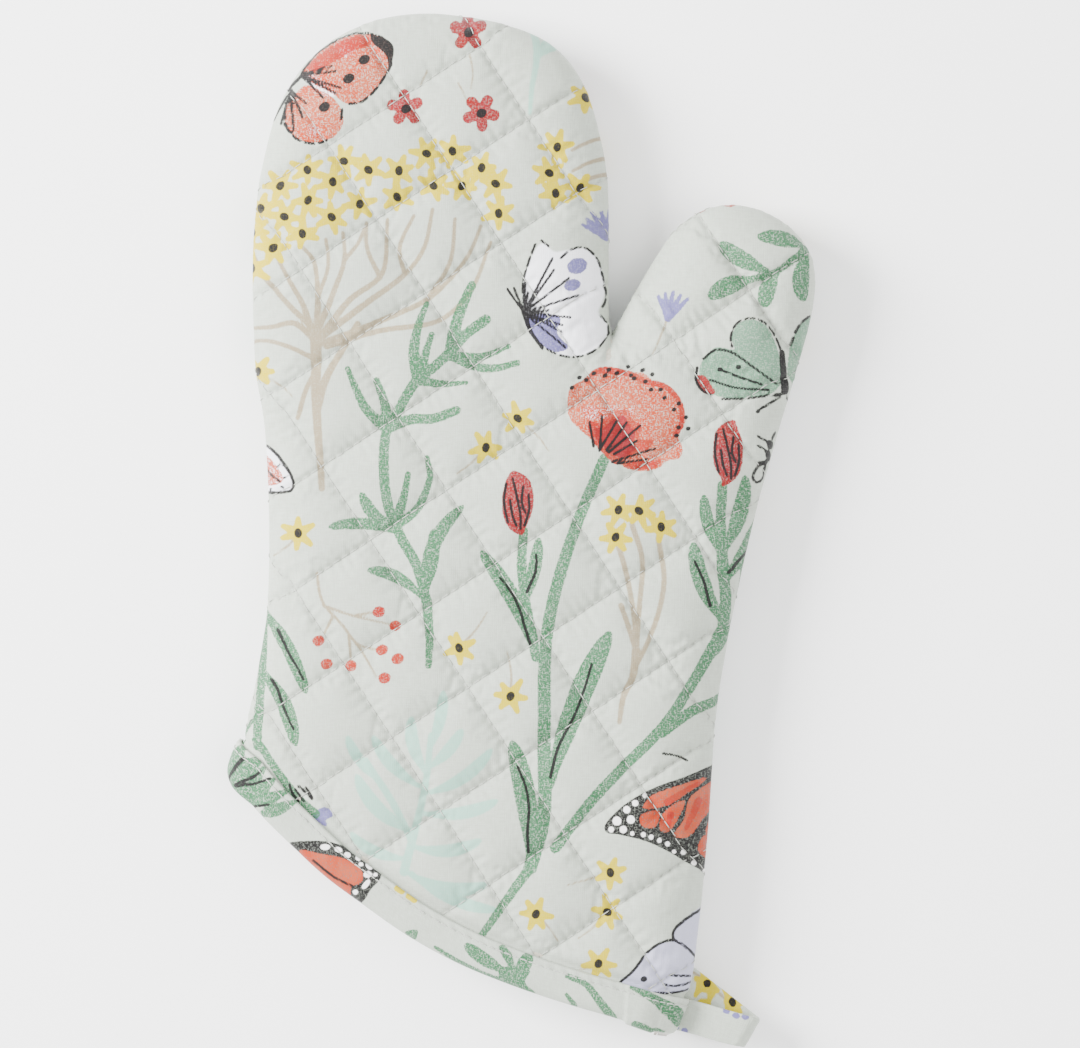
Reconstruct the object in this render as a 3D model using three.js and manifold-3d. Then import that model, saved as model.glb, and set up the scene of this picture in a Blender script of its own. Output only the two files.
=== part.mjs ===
// Quilted oven mitt lying face up: X across the palm, thumb towards +X, Y towards the fingertips, Z up.
// Millimetres. The mitt is a stack of sewn layers, each one split at the side seam and at the two folds.
import * as THREE from "three";
import Module from "manifold-3d";
import { mergeVertices } from "three/addons/utils/BufferGeometryUtils.js";

const wasm = await Module();
wasm.setup();

const SEAM_Z = 10;            // height of the side seam above the table
const GAP = 0.3;              // clearance between neighbouring pieces
const SHELL = [0, 1.3];       // depth of each layer below the outer face
const WADDING = [1.6, 4.4];
const LINING = [4.7, 5.4];
const GROOVE_DEPTH = 0.85;    // the quilting stitches lie in shallow grooves
const GROOVE_WIDTH = 1.1;
const RIM = 2.5;              // the quilting stops this far from the side seam
const THREAD = [0.1, 0.5];
const THREAD_WIDTH = 0.5;
const SEAM_THREAD = [2.0, 2.8];
const BINDING_OUT = -1.6;     // the binding wraps outside the shell
const BINDING_IN = 6.5;       // and inside the lining
const BINDING_CLEAR = [-0.3, 5.7];
const ROUND = 2.4;            // exponent of the rounded cross-section
const AROUND = 12;            // points round each cross-section
const FLAT = 1.15;            // the underside is pressed flat by this factor
const SHIFT_RANGE = 30;       // length over which the tip insets fade
const QUILT = [
  { angle: 123.2, pitch: 28.0, offset: 16.1, first: -4, last: 4 },
  { angle: 33.7, pitch: 27.2, offset: -3.1, first: -6, last: 6 },
];
const FINGER_FOLD_Y = 81.5;
const THUMB_FOLD = [[31, 78.8], [130, 42.5]];
const STRAP = { width: 10, thick: 1.4 };

// Cross-sections of the hand: height up the mitt, left edge, right edge, top rise, underside drop.
const HAND = [
  [161.5, -38, -19, 8.5, 7.5], [154.5, -58, 7.5, 12.5, 9], [146.5, -67.5, 14.5, 15, 9.5],
  [135, -74, 21, 17, 10], [120.5, -79, 25, 18, 10], [101.5, -82.5, 27, 18, 10],
  [61.5, -82.5, 28, 18, 10], [41.5, -80.5, 41.5, 18, 10], [20, -79, 52, 18, 10],
  [-5, -78.5, 59, 18, 10], [-39.5, -81.5, 62, 17.5, 10], [-69.5, -89, 59.5, 16.5, 10],
  [-98, -91.5, 57, 15.5, 10], [-170, -91.5, 49, 14, 10],
];
// The thumb, from its tip down to where it is buried in the hand.
const THUMB = [
  [100.5, 58, 72, 8.5, 7.5], [94, 47.5, 84.5, 12, 9], [87, 42.5, 89.5, 14, 10],
  [79.5, 37.5, 91.5, 15.5, 10], [64.5, 29, 89, 16.5, 10], [42, 21, 83, 16.5, 10],
  [12.5, 16.5, 74.5, 16.5, 10], [-17.5, 16.5, 67, 15, 10], [-32, 19.5, 63.5, 13, 9.5],
  [-50, 28, 60, 10, 9],
];
// Lower edge of the cuff and upper edge of its binding, left to right.
const CUFF = [
  [-101, -64], [-90.5, -75], [-70.5, -96], [-50, -113], [-35, -123.5], [-19.5, -132], [-1, -139.5],
  [31, -150], [47, -154.5], [75, -161],
];
const BIND_TOP = [
  [-101, -53.5], [-88, -64.5], [-73.5, -76.5], [-60, -90], [-42.5, -104], [-26, -116], [-7.5, -125],
  [13.5, -134.5], [31, -139.5], [51, -142.5], [75, -147],
];

// A three.js geometry as a manifold solid.
function toSolid(geometry) {
  const bare = geometry.clone();
  bare.deleteAttribute("normal");
  bare.deleteAttribute("uv");
  const welded = mergeVertices(bare, 1e-5);
  return new wasm.Manifold(new wasm.Mesh({
    numProp: 3,
    vertProperties: new Float32Array(welded.attributes.position.array),
    triVerts: new Uint32Array(welded.index.array),
  }));
}

// A manifold solid as a three.js geometry.
function toGeometry(solid) {
  const mesh = solid.getMesh();
  const geometry = new THREE.BufferGeometry();
  const xyz = new Float32Array(mesh.vertProperties);
  geometry.setAttribute("position", new THREE.BufferAttribute(xyz, 3));
  geometry.setIndex(new THREE.BufferAttribute(new Uint32Array(mesh.triVerts), 1));
  geometry.computeVertexNormals();
  return geometry;
}

// Closed solid through rings that all have the same number of points.
function skin(rings) {
  const n = rings[0].length;
  const points = rings.flat();
  const index = [];
  for (let r = 0; r + 1 < rings.length; r++) {
    for (let i = 0; i < n; i++) {
      const a = r * n + i;
      const b = r * n + ((i + 1) % n);
      index.push(a, b, a + n, b, b + n, a + n);
    }
  }
  for (const [r, flip] of [[0, true], [rings.length - 1, false]]) {
    const centre = new THREE.Vector3();
    rings[r].forEach((p) => centre.addScaledVector(p, 1 / n));
    points.push(centre);
    for (let i = 0; i < n; i++) {
      const a = r * n + i;
      const b = r * n + ((i + 1) % n);
      index.push(...(flip ? [b, a, points.length - 1] : [a, b, points.length - 1]));
    }
  }
  const geometry = new THREE.BufferGeometry().setFromPoints(points);
  geometry.setIndex(index);
  return geometry;
}

// One cross-section, drawn in from its outer face by inset.
function ring([y, left, right, top, bottom], tip, inset) {
  const fade = Math.max(0, 1 - (tip - y) / SHIFT_RANGE);
  const half = (right - left) / 2 - inset;
  const points = [];
  for (let i = 0; i < AROUND; i++) {
    const a = (i / AROUND) * Math.PI * 2;
    const c = Math.cos(a);
    const s = Math.sin(a);
    const x = (left + right) / 2 + half * Math.sign(c) * Math.abs(c) ** (2 / ROUND);
    const rise = Math.abs(s) ** (2 / ROUND);
    const down = Math.min(1, FLAT * rise);
    const z = s > 0 ? (top - inset) * rise : -(bottom - inset) * down;
    points.push(new THREE.Vector3(x, y - inset * fade, SEAM_Z + z));
  }
  return points;
}

function tube(rows, inset) {
  const tip = rows[0][0];
  return toSolid(skin(rows.map((row) => ring(row, tip, inset))));
}

// The whole mitt as one inflated body at a given depth below its outer face.
const bodies = new Map();
function body(inset) {
  if (!bodies.has(inset)) bodies.set(inset, tube(HAND, inset).add(tube(THUMB, inset)));
  return bodies.get(inset);
}

function layer([outer, inner]) {
  return body(outer).subtract(body(inner));
}

// Upright prism on a plan outline.
function prism(outline, low = -40, high = 60) {
  const shape = new THREE.Shape(outline.map(([x, y]) => new THREE.Vector2(x, y)));
  const geometry = new THREE.ExtrudeGeometry(shape, { depth: high - low, bevelEnabled: false });
  geometry.translate(0, 0, low);
  return toSolid(geometry);
}

function moved(outline, dx, dy) {
  return outline.map(([x, y]) => [x + dx, y + dy]);
}

function slab(low, high) {
  return prism([[-200, -250], [200, -250], [200, 250], [-200, 250]], low, high);
}

// Everything above a line across the cuff, raised by a small step square to the edge.
function above(line, step) {
  const edge = moved(line, 0.62 * step, 0.84 * step);
  return prism([...edge, [140, -150], [140, 220], [-140, 220], [-140, -50]]);
}

function strip(line, low, high) {
  const lower = moved(line, 0.65 * low, 0.75 * low);
  const upper = moved(line, 0.65 * high, 0.75 * high);
  return prism([...lower, ...upper.reverse()]);
}

// The fingers, the thumb and the palm are cut apart where the mitt folds.
function fingerZone(gap) {
  const y = FINGER_FOLD_Y - gap;
  return prism([[-150, y], [30 + gap, y], [30 + gap, 250], [-150, 250]]);
}

function thumbZone(gap) {
  const [[ax, ay], [bx, by]] = THUMB_FOLD;
  return prism([[ax - gap, ay - gap], [bx, by - gap], [bx, 250], [ax - gap, 250]]);
}

const ZONES = {
  hand: (solid) => solid.subtract(fingerZone(GAP)).subtract(thumbZone(GAP)),
  fingers: (solid) => solid.intersect(fingerZone(0)).subtract(thumbZone(GAP)),
  thumb: (solid) => solid.intersect(thumbZone(0)),
};

// Two crossing families of upright blades mark the quilting lines.
function quiltBlades(width) {
  const blades = [];
  for (const { angle, pitch, offset, first, last } of QUILT) {
    const dir = THREE.MathUtils.degToRad(angle);
    const side = dir - (angle > 90 ? Math.PI / 2 : -Math.PI / 2);
    for (let k = first; k <= last; k++) {
      const blade = new THREE.BoxGeometry(500, width, 100);
      blade.rotateZ(dir);
      const m = offset + pitch * k;
      blade.translate(m * Math.cos(side), m * Math.sin(side), 0);
      blades.push(toSolid(blade));
    }
  }
  return blades.reduce((all, blade) => all.add(blade));
}

// Stray ends shorter than a stitch are left out, so that the thread is one connected net.
function largest(solid) {
  const parts = solid.decompose();
  return parts.reduce((best, part) => (part.volume() > best.volume() ? part : best));
}

// Flat strip through stations [x, y, z, side x, side y, tilt of its face in degrees].
function strap(stations) {
  const rings = stations.map(([x, y, z, sx, sy, tilt]) => {
    const side = new THREE.Vector3(sx, sy, 0).normalize();
    const face = new THREE.Vector3(0, 0, 1).applyAxisAngle(side, THREE.MathUtils.degToRad(tilt));
    const centre = new THREE.Vector3(x, y, z);
    const corner = (u, v) => centre.clone()
      .addScaledVector(side, u * STRAP.width / 2)
      .addScaledVector(face, v * STRAP.thick / 2);
    return [corner(1, 1), corner(-1, 1), corner(-1, -1), corner(1, -1)];
  });
  return toSolid(skin(rings));
}

const FABRIC = new THREE.MeshStandardMaterial({ name: "printed_cotton", color: 0xdde1db, roughness: 0.9 });
const FILL = new THREE.MeshStandardMaterial({ name: "polyester_wadding", color: 0xf2f0ea, roughness: 1 });
const INNER = new THREE.MeshStandardMaterial({ name: "cotton_lining", color: 0xe9e6dd, roughness: 0.95 });
const STITCH = new THREE.MeshStandardMaterial({ name: "white_thread", color: 0xf4f3ee, roughness: 0.6 });

const mitt = new THREE.Group();
mitt.name = "oven_mitt";

function put(name, solid, material) {
  const mesh = new THREE.Mesh(toGeometry(solid), material.clone());
  mesh.name = name;
  mitt.add(mesh);
}

const trimmed = above(CUFF, 1.5);
const blades = { wide: quiltBlades(GROOVE_WIDTH), thin: quiltBlades(THREAD_WIDTH) };
const rim = (reach) => slab(SEAM_Z - reach, SEAM_Z + reach);
const groove = layer([-0.5, GROOVE_DEPTH]).intersect(blades.wide).subtract(rim(RIM));
const shell = layer(SHELL).intersect(trimmed).subtract(groove);
const wadding = layer(WADDING).intersect(trimmed);
const lining = layer(LINING).intersect(trimmed);
const net = layer(THREAD).intersect(blades.thin).intersect(above(BIND_TOP, 1)).subtract(rim(RIM + GAP));

const SIDES = {
  front: (gap) => slab(SEAM_Z + gap, 80),
  back: (gap) => slab(-40, SEAM_Z - gap),
};
for (const [side, half] of Object.entries(SIDES)) {
  for (const [zone, cut] of Object.entries(ZONES)) {
    put(`${side}_shell_${zone}`, cut(shell.intersect(half(0.15))), FABRIC);
    put(`${side}_wadding_${zone}`, cut(wadding.intersect(half(0.6))), FILL);
    put(`${side}_lining_${zone}`, cut(lining.intersect(half(0.15))), INNER);
    put(`${side}_quilting_${zone}`, largest(cut(net.intersect(half(0)))), STITCH);
  }
}

// The side seam runs between the front and back wadding, from cuff to cuff.
const seam = layer(SEAM_THREAD).intersect(trimmed).intersect(slab(SEAM_Z - 0.3, SEAM_Z + 0.3));
const seamHand = ZONES.hand(seam);
const crotch = prism([[5, 50], [48, 50], [48, 90], [5, 90]]);
const leftHalf = prism([[-200, -250], [-30, -250], [-30, 150], [-200, 150]]);
put("side_seam_left", seamHand.intersect(leftHalf), STITCH);
put("side_seam_right", seamHand.subtract(leftHalf).subtract(crotch), STITCH);
put("side_seam_crotch", seamHand.intersect(crotch), STITCH);
put("side_seam_fingers", ZONES.fingers(seam), STITCH);
put("side_seam_thumb", ZONES.thumb(seam), STITCH);

// Folded binding round the mouth, with its line of topstitching in a groove.
const wrap = body(BINDING_OUT).subtract(body(BINDING_IN)).intersect(prism([...CUFF, ...[...BIND_TOP].reverse()]));
const slot = layer(BINDING_CLEAR).intersect(above(CUFF, 1.2));
const stitchGroove = body(-2.5).subtract(body(-0.95)).intersect(strip(BIND_TOP, -2.0, -0.9));
const stitchRun = body(-1.6).subtract(body(-1.2)).intersect(strip(BIND_TOP, -1.7, -1.2));
put("cuff_binding", wrap.subtract(slot).subtract(stitchGroove), FABRIC);
put("binding_topstitch", stitchRun, STITCH);

// Hanging loop: a strip that leaves the side seam, turns over at its tip and comes back.
const loop = strap([
  [54.9, -138.7, 8.6, 0.12, 0.99, 0], [60, -141.8, 7.6, 0.42, 0.91, 0], [66.5, -147, 7.4, 0.45, 0.89, 0],
  [70.6, -149.8, 9.0, 0.45, 0.89, -60], [71.8, -150.6, 11.0, 0.45, 0.89, -90],
  [70.4, -151.0, 13.0, 0.42, 0.91, -120], [66.5, -151.6, 14.6, 0.35, 0.94, -180],
  [60, -150.6, 14.2, 0.27, 0.96, -180], [53.9, -149, 11.4, 0.12, 0.99, -180],
]);
put("hanging_loop", loop, FABRIC);

// The origin is the middle of the mitt's footprint, on the table.
const box = new THREE.Box3().setFromObject(mitt);
const centre = box.getCenter(new THREE.Vector3());
mitt.position.set(-centre.x, -centre.y, -box.min.z);

export default mitt;
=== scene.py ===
"""Quilted oven mitt: the looks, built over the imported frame.

Lengths are in millimetres, in the drawing's own place, until new_object puts them in a mesh.
"""
import math

import bpy
import numpy as np
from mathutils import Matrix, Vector
from mathutils.geometry import delaunay_2d_cdt


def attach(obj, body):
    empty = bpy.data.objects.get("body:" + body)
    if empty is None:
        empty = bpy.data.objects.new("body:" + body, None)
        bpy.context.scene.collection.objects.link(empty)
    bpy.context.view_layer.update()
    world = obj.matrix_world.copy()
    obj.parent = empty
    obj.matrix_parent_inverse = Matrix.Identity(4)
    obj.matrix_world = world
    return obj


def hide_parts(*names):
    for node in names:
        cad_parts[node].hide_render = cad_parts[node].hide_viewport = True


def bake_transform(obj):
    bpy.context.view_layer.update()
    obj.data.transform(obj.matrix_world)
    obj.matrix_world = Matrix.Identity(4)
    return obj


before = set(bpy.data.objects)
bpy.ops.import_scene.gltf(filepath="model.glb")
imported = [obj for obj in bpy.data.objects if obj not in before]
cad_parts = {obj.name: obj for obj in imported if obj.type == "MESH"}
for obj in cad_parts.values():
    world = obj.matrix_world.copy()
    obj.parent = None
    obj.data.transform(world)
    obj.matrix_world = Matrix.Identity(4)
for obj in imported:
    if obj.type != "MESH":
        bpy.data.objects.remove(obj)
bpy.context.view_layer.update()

rng = np.random.default_rng(7)

# ---------------------------------------------------------------- sizes
ORIGIN = np.array([0.207, 2.607, -1.6])      # the frame's origin, in the drawing's millimetres
SEAM_Z = 10.0
SEAM_GAP = 0.3                               # each panel's edge lies this far from the seam's plane
EDGE_R, EDGE_START = 7.5, -0.25              # rounding beside the side seam, and the angle it starts at
FRONT_EDGE, CROWN, BACK_DROP = 8.6, 8.4, 9.7
UNDER = 1.5                                  # the underside sags this far to the table behind the binding
CORNER_IN = 4.0                              # how far the cuff's corner beside the loop is drawn in
LAYERS = {"shell": (0.0, 1.0), "wadding": (1.3, 4.2), "lining": (4.5, 5.3)}
ANGLE = math.radians(33.4)                   # the quilting's slant
U_AXIS = np.array([math.cos(ANGLE), math.sin(ANGLE)])
V_AXIS = np.array([-math.sin(ANGLE), math.cos(ANGLE)])
PITCH = np.array([28.0, 27.2])               # between quilting lines, across each family
PHASE = np.array([16.1, -3.1])
PUFF = {"front": 2.3, "back": 1.2}           # height of the pillows
OUTLINE_STEP = 0.6
FINE, BACK, COARSE, SIM = (44, 43), (28, 27), (8, 8), (20, 20)      # mesh cells to a quilting pitch
STITCH_STEPS = 5                             # fine cells to a stitch
STITCH_PITCH = PITCH / np.array(FINE) * STITCH_STEPS
# how far the painted shade round each needle hole reaches
HOLE_SHADE_R = 0.48
SEAM_INSET = 2.4
SHELL_GAP, COARSE_GAP = 0.3, 1.2             # the grid's nodes keep this far from a piece's edge
CHUNK = 4000                                 # points handled at a time

# ---------------------------------------------------------------- outlines
# from the left cuff corner, round the fingers, to the right one
LEFT = [(-92, -190), (-91.5, -100), (-90, -74), (-88.5, -69), (-86, -62), (-84.5, -54.5), (-82.8, -47),
        (-81.5, -39.5), (-80.2, -32), (-79.2, -25), (-78.5, -10), (-78.5, 5), (-79, 20), (-80, 34.5),
        (-81.2, 42), (-82.6, 50), (-83.2, 62), (-83.6, 75), (-83.4, 90), (-82.5, 101.5), (-81.6, 109),
        (-80.1, 116.5), (-78.3, 124), (-76, 131.5), (-72.2, 139), (-66.9, 146.5), (-58.2, 153.8),
        (-47.5, 159), (-38, 161.2), (-28.5, 161.8), (-19, 161), (-5, 158.3), (7.2, 153.4), (14.6, 147),
        (19.6, 139), (22.4, 131.5), (24.3, 124), (25.9, 116.5), (26.8, 109), (27.1, 100), (27.1, 87),
        (27, 75), (27.3, 66)]
CROTCH = [(28.2, 62.4)]
RIGHT = [(30, 65.5), (33.5, 72), (37.8, 79.5), (42.4, 87), (47.2, 93.8), (53, 98.8), (59.5, 101.6),
         (66, 102.3), (73, 101), (80, 97.8), (86, 92.8), (90, 86.5), (91.3, 79.5), (90.8, 72),
         (89.3, 64.5), (87.3, 57), (85.1, 49.5), (82.9, 42), (80.6, 34.5), (78.6, 27.5), (76.5, 20),
         (74.3, 12.5), (72.4, 5), (70.6, -2.5), (68.8, -10), (67.2, -17.5), (65.6, -25), (64.2, -32),
         (63, -39.5), (61.7, -47), (60.7, -54.5), (59.9, -62), (59.4, -70), (58.8, -80), (58, -92),
         (57, -103), (56, -114), (54.8, -124), (53.6, -134), (52, -144), (50.6, -156), (47, -190)]
CUFF = [(-100, -65), (-90.5, -75), (-80.7, -86), (-70.5, -96), (-60.5, -105.2), (-50, -113),
        (-35, -123.5), (-19.5, -132), (-1, -139.5), (14.5, -144.7), (31, -149.5), (43, -153),
        (51, -155.3), (60, -158)]
FOLD_N = np.array([0.344, 0.939])            # square to the thumb's fold
FOLD_C = 68.3                                # where the thumb's own piece begins


SPAN_POINTS = 24                             # points worked out between two of a curve's own


def blend(a, b, start, end, t):
    """Straight from a to b as t goes from start to end."""
    return ((end - t) * a + (t - start) * b) / (end - start)


def spline(points, step, closed=False):
    """Centripetal Catmull-Rom curve through the points, at even steps."""
    p = np.array(points, float)
    ends = (p[-1:], p[:2]) if closed else (2 * p[:1] - p[1:2], 2 * p[-1:] - p[-2:-1])
    p = np.vstack([ends[0], p, ends[1]])
    out = []
    for a, b, c, d in zip(p[:-3], p[1:-2], p[2:-1], p[3:]):
        gaps = [max(np.linalg.norm(y - x), 1e-6) ** 0.5 for x, y in ((a, b), (b, c), (c, d))]
        knots = np.cumsum([0] + gaps)
        k0, k1, k2, k3 = knots
        t = np.linspace(k1, k2, SPAN_POINTS, endpoint=False)[:, None]
        ab, bc, cd = blend(a, b, k0, k1, t), blend(b, c, k1, k2, t), blend(c, d, k2, k3, t)
        out.append(blend(blend(ab, bc, k0, k2, t), blend(bc, cd, k1, k3, t), k1, k2, t))
    out.append(p[-2:-1])
    return even(np.vstack(out), step)


def even(line, step):
    """The same polyline with points at even distances."""
    jumps = np.diff(line, axis=0)
    gaps = np.hypot(*jumps.T) if line.shape[1] == 2 else np.linalg.norm(jumps, axis=1)
    along = np.concatenate([[0], np.cumsum(gaps)])
    s = np.linspace(0, along[-1], max(2, int(round(along[-1] / step)) + 1))
    return np.stack([np.interp(s, along, line[:, k]) for k in range(line.shape[1])], 1)


def nearest(points, line):
    """Distance from each point to the polyline, and the nearest place on it."""
    dist = np.full(len(points), 1e9)
    place = np.zeros((len(points), 2))
    a, b = line[:-1], line[1:]
    ab = b - a
    length = (ab ** 2).sum(1)
    for i in range(0, len(points), CHUNK):
        p = points[i:i + CHUNK, None]
        t = np.clip(((p - a) * ab).sum(2) / length, 0, 1)
        q = a + t[..., None] * ab
        d = ((p - q) ** 2).sum(2)
        k = d.argmin(1)
        rows = np.arange(len(k))
        dist[i:i + CHUNK] = np.sqrt(d[rows, k])
        place[i:i + CHUNK] = q[rows, k]
    return dist, place


def is_inside(points, loop):
    """Which points lie inside the closed loop."""
    a, b = loop, np.roll(loop, -1, 0)
    out = np.zeros(len(points), bool)
    for i in range(0, len(points), CHUNK):
        p = points[i:i + CHUNK, None]
        cross = (a[:, 1] <= p[..., 1]) != (b[:, 1] <= p[..., 1])
        rise = np.where(b[:, 1] == a[:, 1], 1e-9, b[:, 1] - a[:, 1])
        x = a[:, 0] + (p[..., 1] - a[:, 1]) / rise * (b[:, 0] - a[:, 0])
        out[i:i + CHUNK] = (cross & (x > p[..., 0])).sum(1) % 2 == 1
    return out


def smoothstep(x, lo, hi):
    """0 below lo, 1 above hi, smooth between."""
    t = np.clip((x - lo) / (hi - lo), 0, 1)
    return t * t * (3 - 2 * t)


left_side, right_side = spline(LEFT, OUTLINE_STEP), spline(RIGHT, OUTLINE_STEP)
SIDE = np.vstack([left_side, CROTCH, right_side])
CUFF_LINE = spline(CUFF, OUTLINE_STEP)


def cross_at(line, other):
    """Index in line of the point nearest to the other line."""
    dist, _ = nearest(line, other)
    return int(dist.argmin())


# ---------------------------------------------------------------- the crown
# a membrane blown up between the side seams
CELL = 3.0
CROWN_ROUNDS, CROWN_POWER = 1600, 0.42
GX, GY = np.arange(-111, 114, CELL), np.arange(-189, 180, CELL)


def crown_grid():
    """Height of an evenly loaded membrane over the mitt's plan, 0 at the seams and 1 at its highest."""
    xy = np.stack(np.meshgrid(GX, GY, indexing="ij"), -1)
    inside = is_inside(xy.reshape(-1, 2), SIDE).reshape(xy.shape[:2])
    h = np.zeros(inside.shape)
    for _ in range(CROWN_ROUNDS):
        below = np.concatenate([h[:, :1], h[:, :-1]], 1)
        above = np.concatenate([h[:, 1:], h[:, -1:]], 1)
        near = np.roll(h, 1, 0) + np.roll(h, -1, 0) + below + above
        h = np.where(inside, near / 4 + 1, 0)
    return (h / h.max()) ** CROWN_POWER


def cubic(grid, i, j):
    """Catmull-Rom sample of a grid at fractional indices."""
    out = 0
    i0, j0 = np.floor(i).astype(int), np.floor(j).astype(int)
    fi, fj = i - i0, j - j0
    weight = lambda t: (-t / 2 + t * t - t ** 3 / 2, 1 - 2.5 * t * t + 1.5 * t ** 3,
                        t / 2 + 2 * t * t - 1.5 * t ** 3, (t ** 3 - t * t) / 2)
    wi, wj = weight(fi), weight(fj)
    shape = (-1,) + (1,) * (grid.ndim - 2)
    for a in range(4):
        for b in range(4):
            x = np.clip(i0 + a - 1, 0, grid.shape[0] - 1)
            y = np.clip(j0 + b - 1, 0, grid.shape[1] - 1)
            out = out + grid[x, y] * (wi[a] * wj[b]).reshape(shape)
    return out


CROWN_GRID = crown_grid()
NOISE = rng.normal(size=(40, 60))


def wander(xy, scale, seed):
    """Smooth random values, about -1 to 1."""
    i = (xy[:, 0] + 300 + seed * 37) / scale % 34 + 2
    j = (xy[:, 1] + 300 + seed * 23) / scale % 54 + 2
    return cubic(NOISE, i, j) * 0.6


def to_uv(xy):
    """Places along the two families of quilting lines."""
    return np.stack([xy @ U_AXIS, xy @ V_AXIS], 1)


def to_xy(uv):
    """The places that to_uv was given."""
    return uv[:, :1] * U_AXIS + uv[:, 1:] * V_AXIS


def base_surface(side, xy):
    """The panel before it puffs up: its place and its outward normal for points of the flat pattern."""
    d, foot = nearest(xy, SIDE)
    inward = xy - foot
    size = np.maximum(np.linalg.norm(inward, axis=1, keepdims=True), 1e-9)
    inward = inward / size
    on_edge = d < 0.05
    if on_edge.any():
        inward[on_edge] = edge_normals(xy[on_edge])
    t = np.clip(d / EDGE_R, 0, 1)
    turn = EDGE_START + (math.pi / 2 - EDGE_START) * t
    plan = xy - inward * (d.clip(0, EDGE_R) - EDGE_R * (1 - np.cos(turn)))[:, None]
    plan[:, 0] -= CORNER_IN * smoothstep(-xy[:, 1], 138, 158) * smoothstep(xy[:, 0], 25, 50)
    rise = (np.sin(turn) - math.sin(EDGE_START)) / (1 - math.sin(EDGE_START))
    crown = cubic(CROWN_GRID, (xy[:, 0] - GX[0]) / CELL, (xy[:, 1] - GY[0]) / CELL).clip(0)
    cuff, _ = nearest(xy, CUFF_LINE)
    if side == "front":
        lift = CROWN * (1 - 0.3 * np.exp(-cuff / 35)) * smoothstep(d, 0, 14)
        z = SEAM_Z + SEAM_GAP + FRONT_EDGE * rise + lift * crown + 0.5 * wander(xy, 30, 1) * smoothstep(d,
                4, 20)
    else:
        z = SEAM_Z - SEAM_GAP - BACK_DROP * rise + PUFF["back"] - UNDER * smoothstep(cuff, 9, 45) * rise
    up = 1 if side == "front" else -1
    normal = np.column_stack([-inward * np.cos(turn)[:, None], up * np.sin(turn).clip(0.0)])
    normal /= np.linalg.norm(normal, axis=1, keepdims=True)
    return np.column_stack([plan, z]), normal, d, cuff


def edge_normals(xy):
    """Inward normals at points on the side seam."""
    step = np.gradient(SIDE, axis=0)
    k = np.array([int(((SIDE - p) ** 2).sum(1).argmin()) for p in xy])
    k = np.clip(k, 1, len(SIDE) - 2)
    t = step[k]
    normal = np.stack([t[:, 1], -t[:, 0]], 1)
    return normal / np.maximum(np.linalg.norm(normal, axis=1, keepdims=True), 1e-9)


# ---------------------------------------------------------------- meshes on the quilting grid
def lattice(loop, steps, margin):
    """Grid nodes inside the loop and clear of it by margin, with the whole cells between them."""
    step = PITCH / steps
    uv = to_uv(loop)
    lo = np.floor((uv.min(0) - PHASE) / step).astype(int) - 1
    hi = np.ceil((uv.max(0) - PHASE) / step).astype(int) + 1
    us = PHASE[0] + np.arange(lo[0], hi[0] + 1) * step[0]
    vs = PHASE[1] + np.arange(lo[1], hi[1] + 1) * step[1]
    inside = np.zeros((len(us), len(vs)), bool)
    a, b = uv, np.roll(uv, -1, 0)
    for j, v in enumerate(vs):
        hit = (a[:, 1] <= v) != (b[:, 1] <= v)
        xs = np.sort(a[hit, 0] + (v - a[hit, 1]) / (b[hit, 1] - a[hit, 1]) * (b[hit, 0] - a[hit, 0]))
        for x0, x1 in zip(xs[::2], xs[1::2]):
            inside[(us > x0) & (us < x1), j] = True
    dense = even(np.vstack([uv, uv[:1]]), 0.25)
    at = np.round((dense - PHASE) / step).astype(int) - lo
    reach = int(margin / step.min()) + 1
    for di in range(-reach, reach + 1):
        for dj in range(-reach, reach + 1):
            i = np.clip(at[:, 0] + di, 0, len(us) - 1)
            j = np.clip(at[:, 1] + dj, 0, len(vs) - 1)
            close = np.hypot(us[i] - dense[:, 0], vs[j] - dense[:, 1]) < margin
            inside[i[close], j[close]] = False
    cells = inside[:-1, :-1] & inside[1:, :-1] & inside[:-1, 1:] & inside[1:, 1:]
    used = np.zeros_like(inside)
    for di in (0, 1):
        for dj in (0, 1):
            used[di:di + cells.shape[0], dj:dj + cells.shape[1]] |= cells
    return us, vs, used, cells, lo


def grid_quads(number, cells):
    """The four corners of every whole cell."""
    i, j = np.nonzero(cells)
    return np.stack([number[i, j], number[i + 1, j], number[i + 1, j + 1], number[i, j + 1]], 1)


# triangles under half this many square millimetres are dropped
SLIVER = 2e-3


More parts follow.
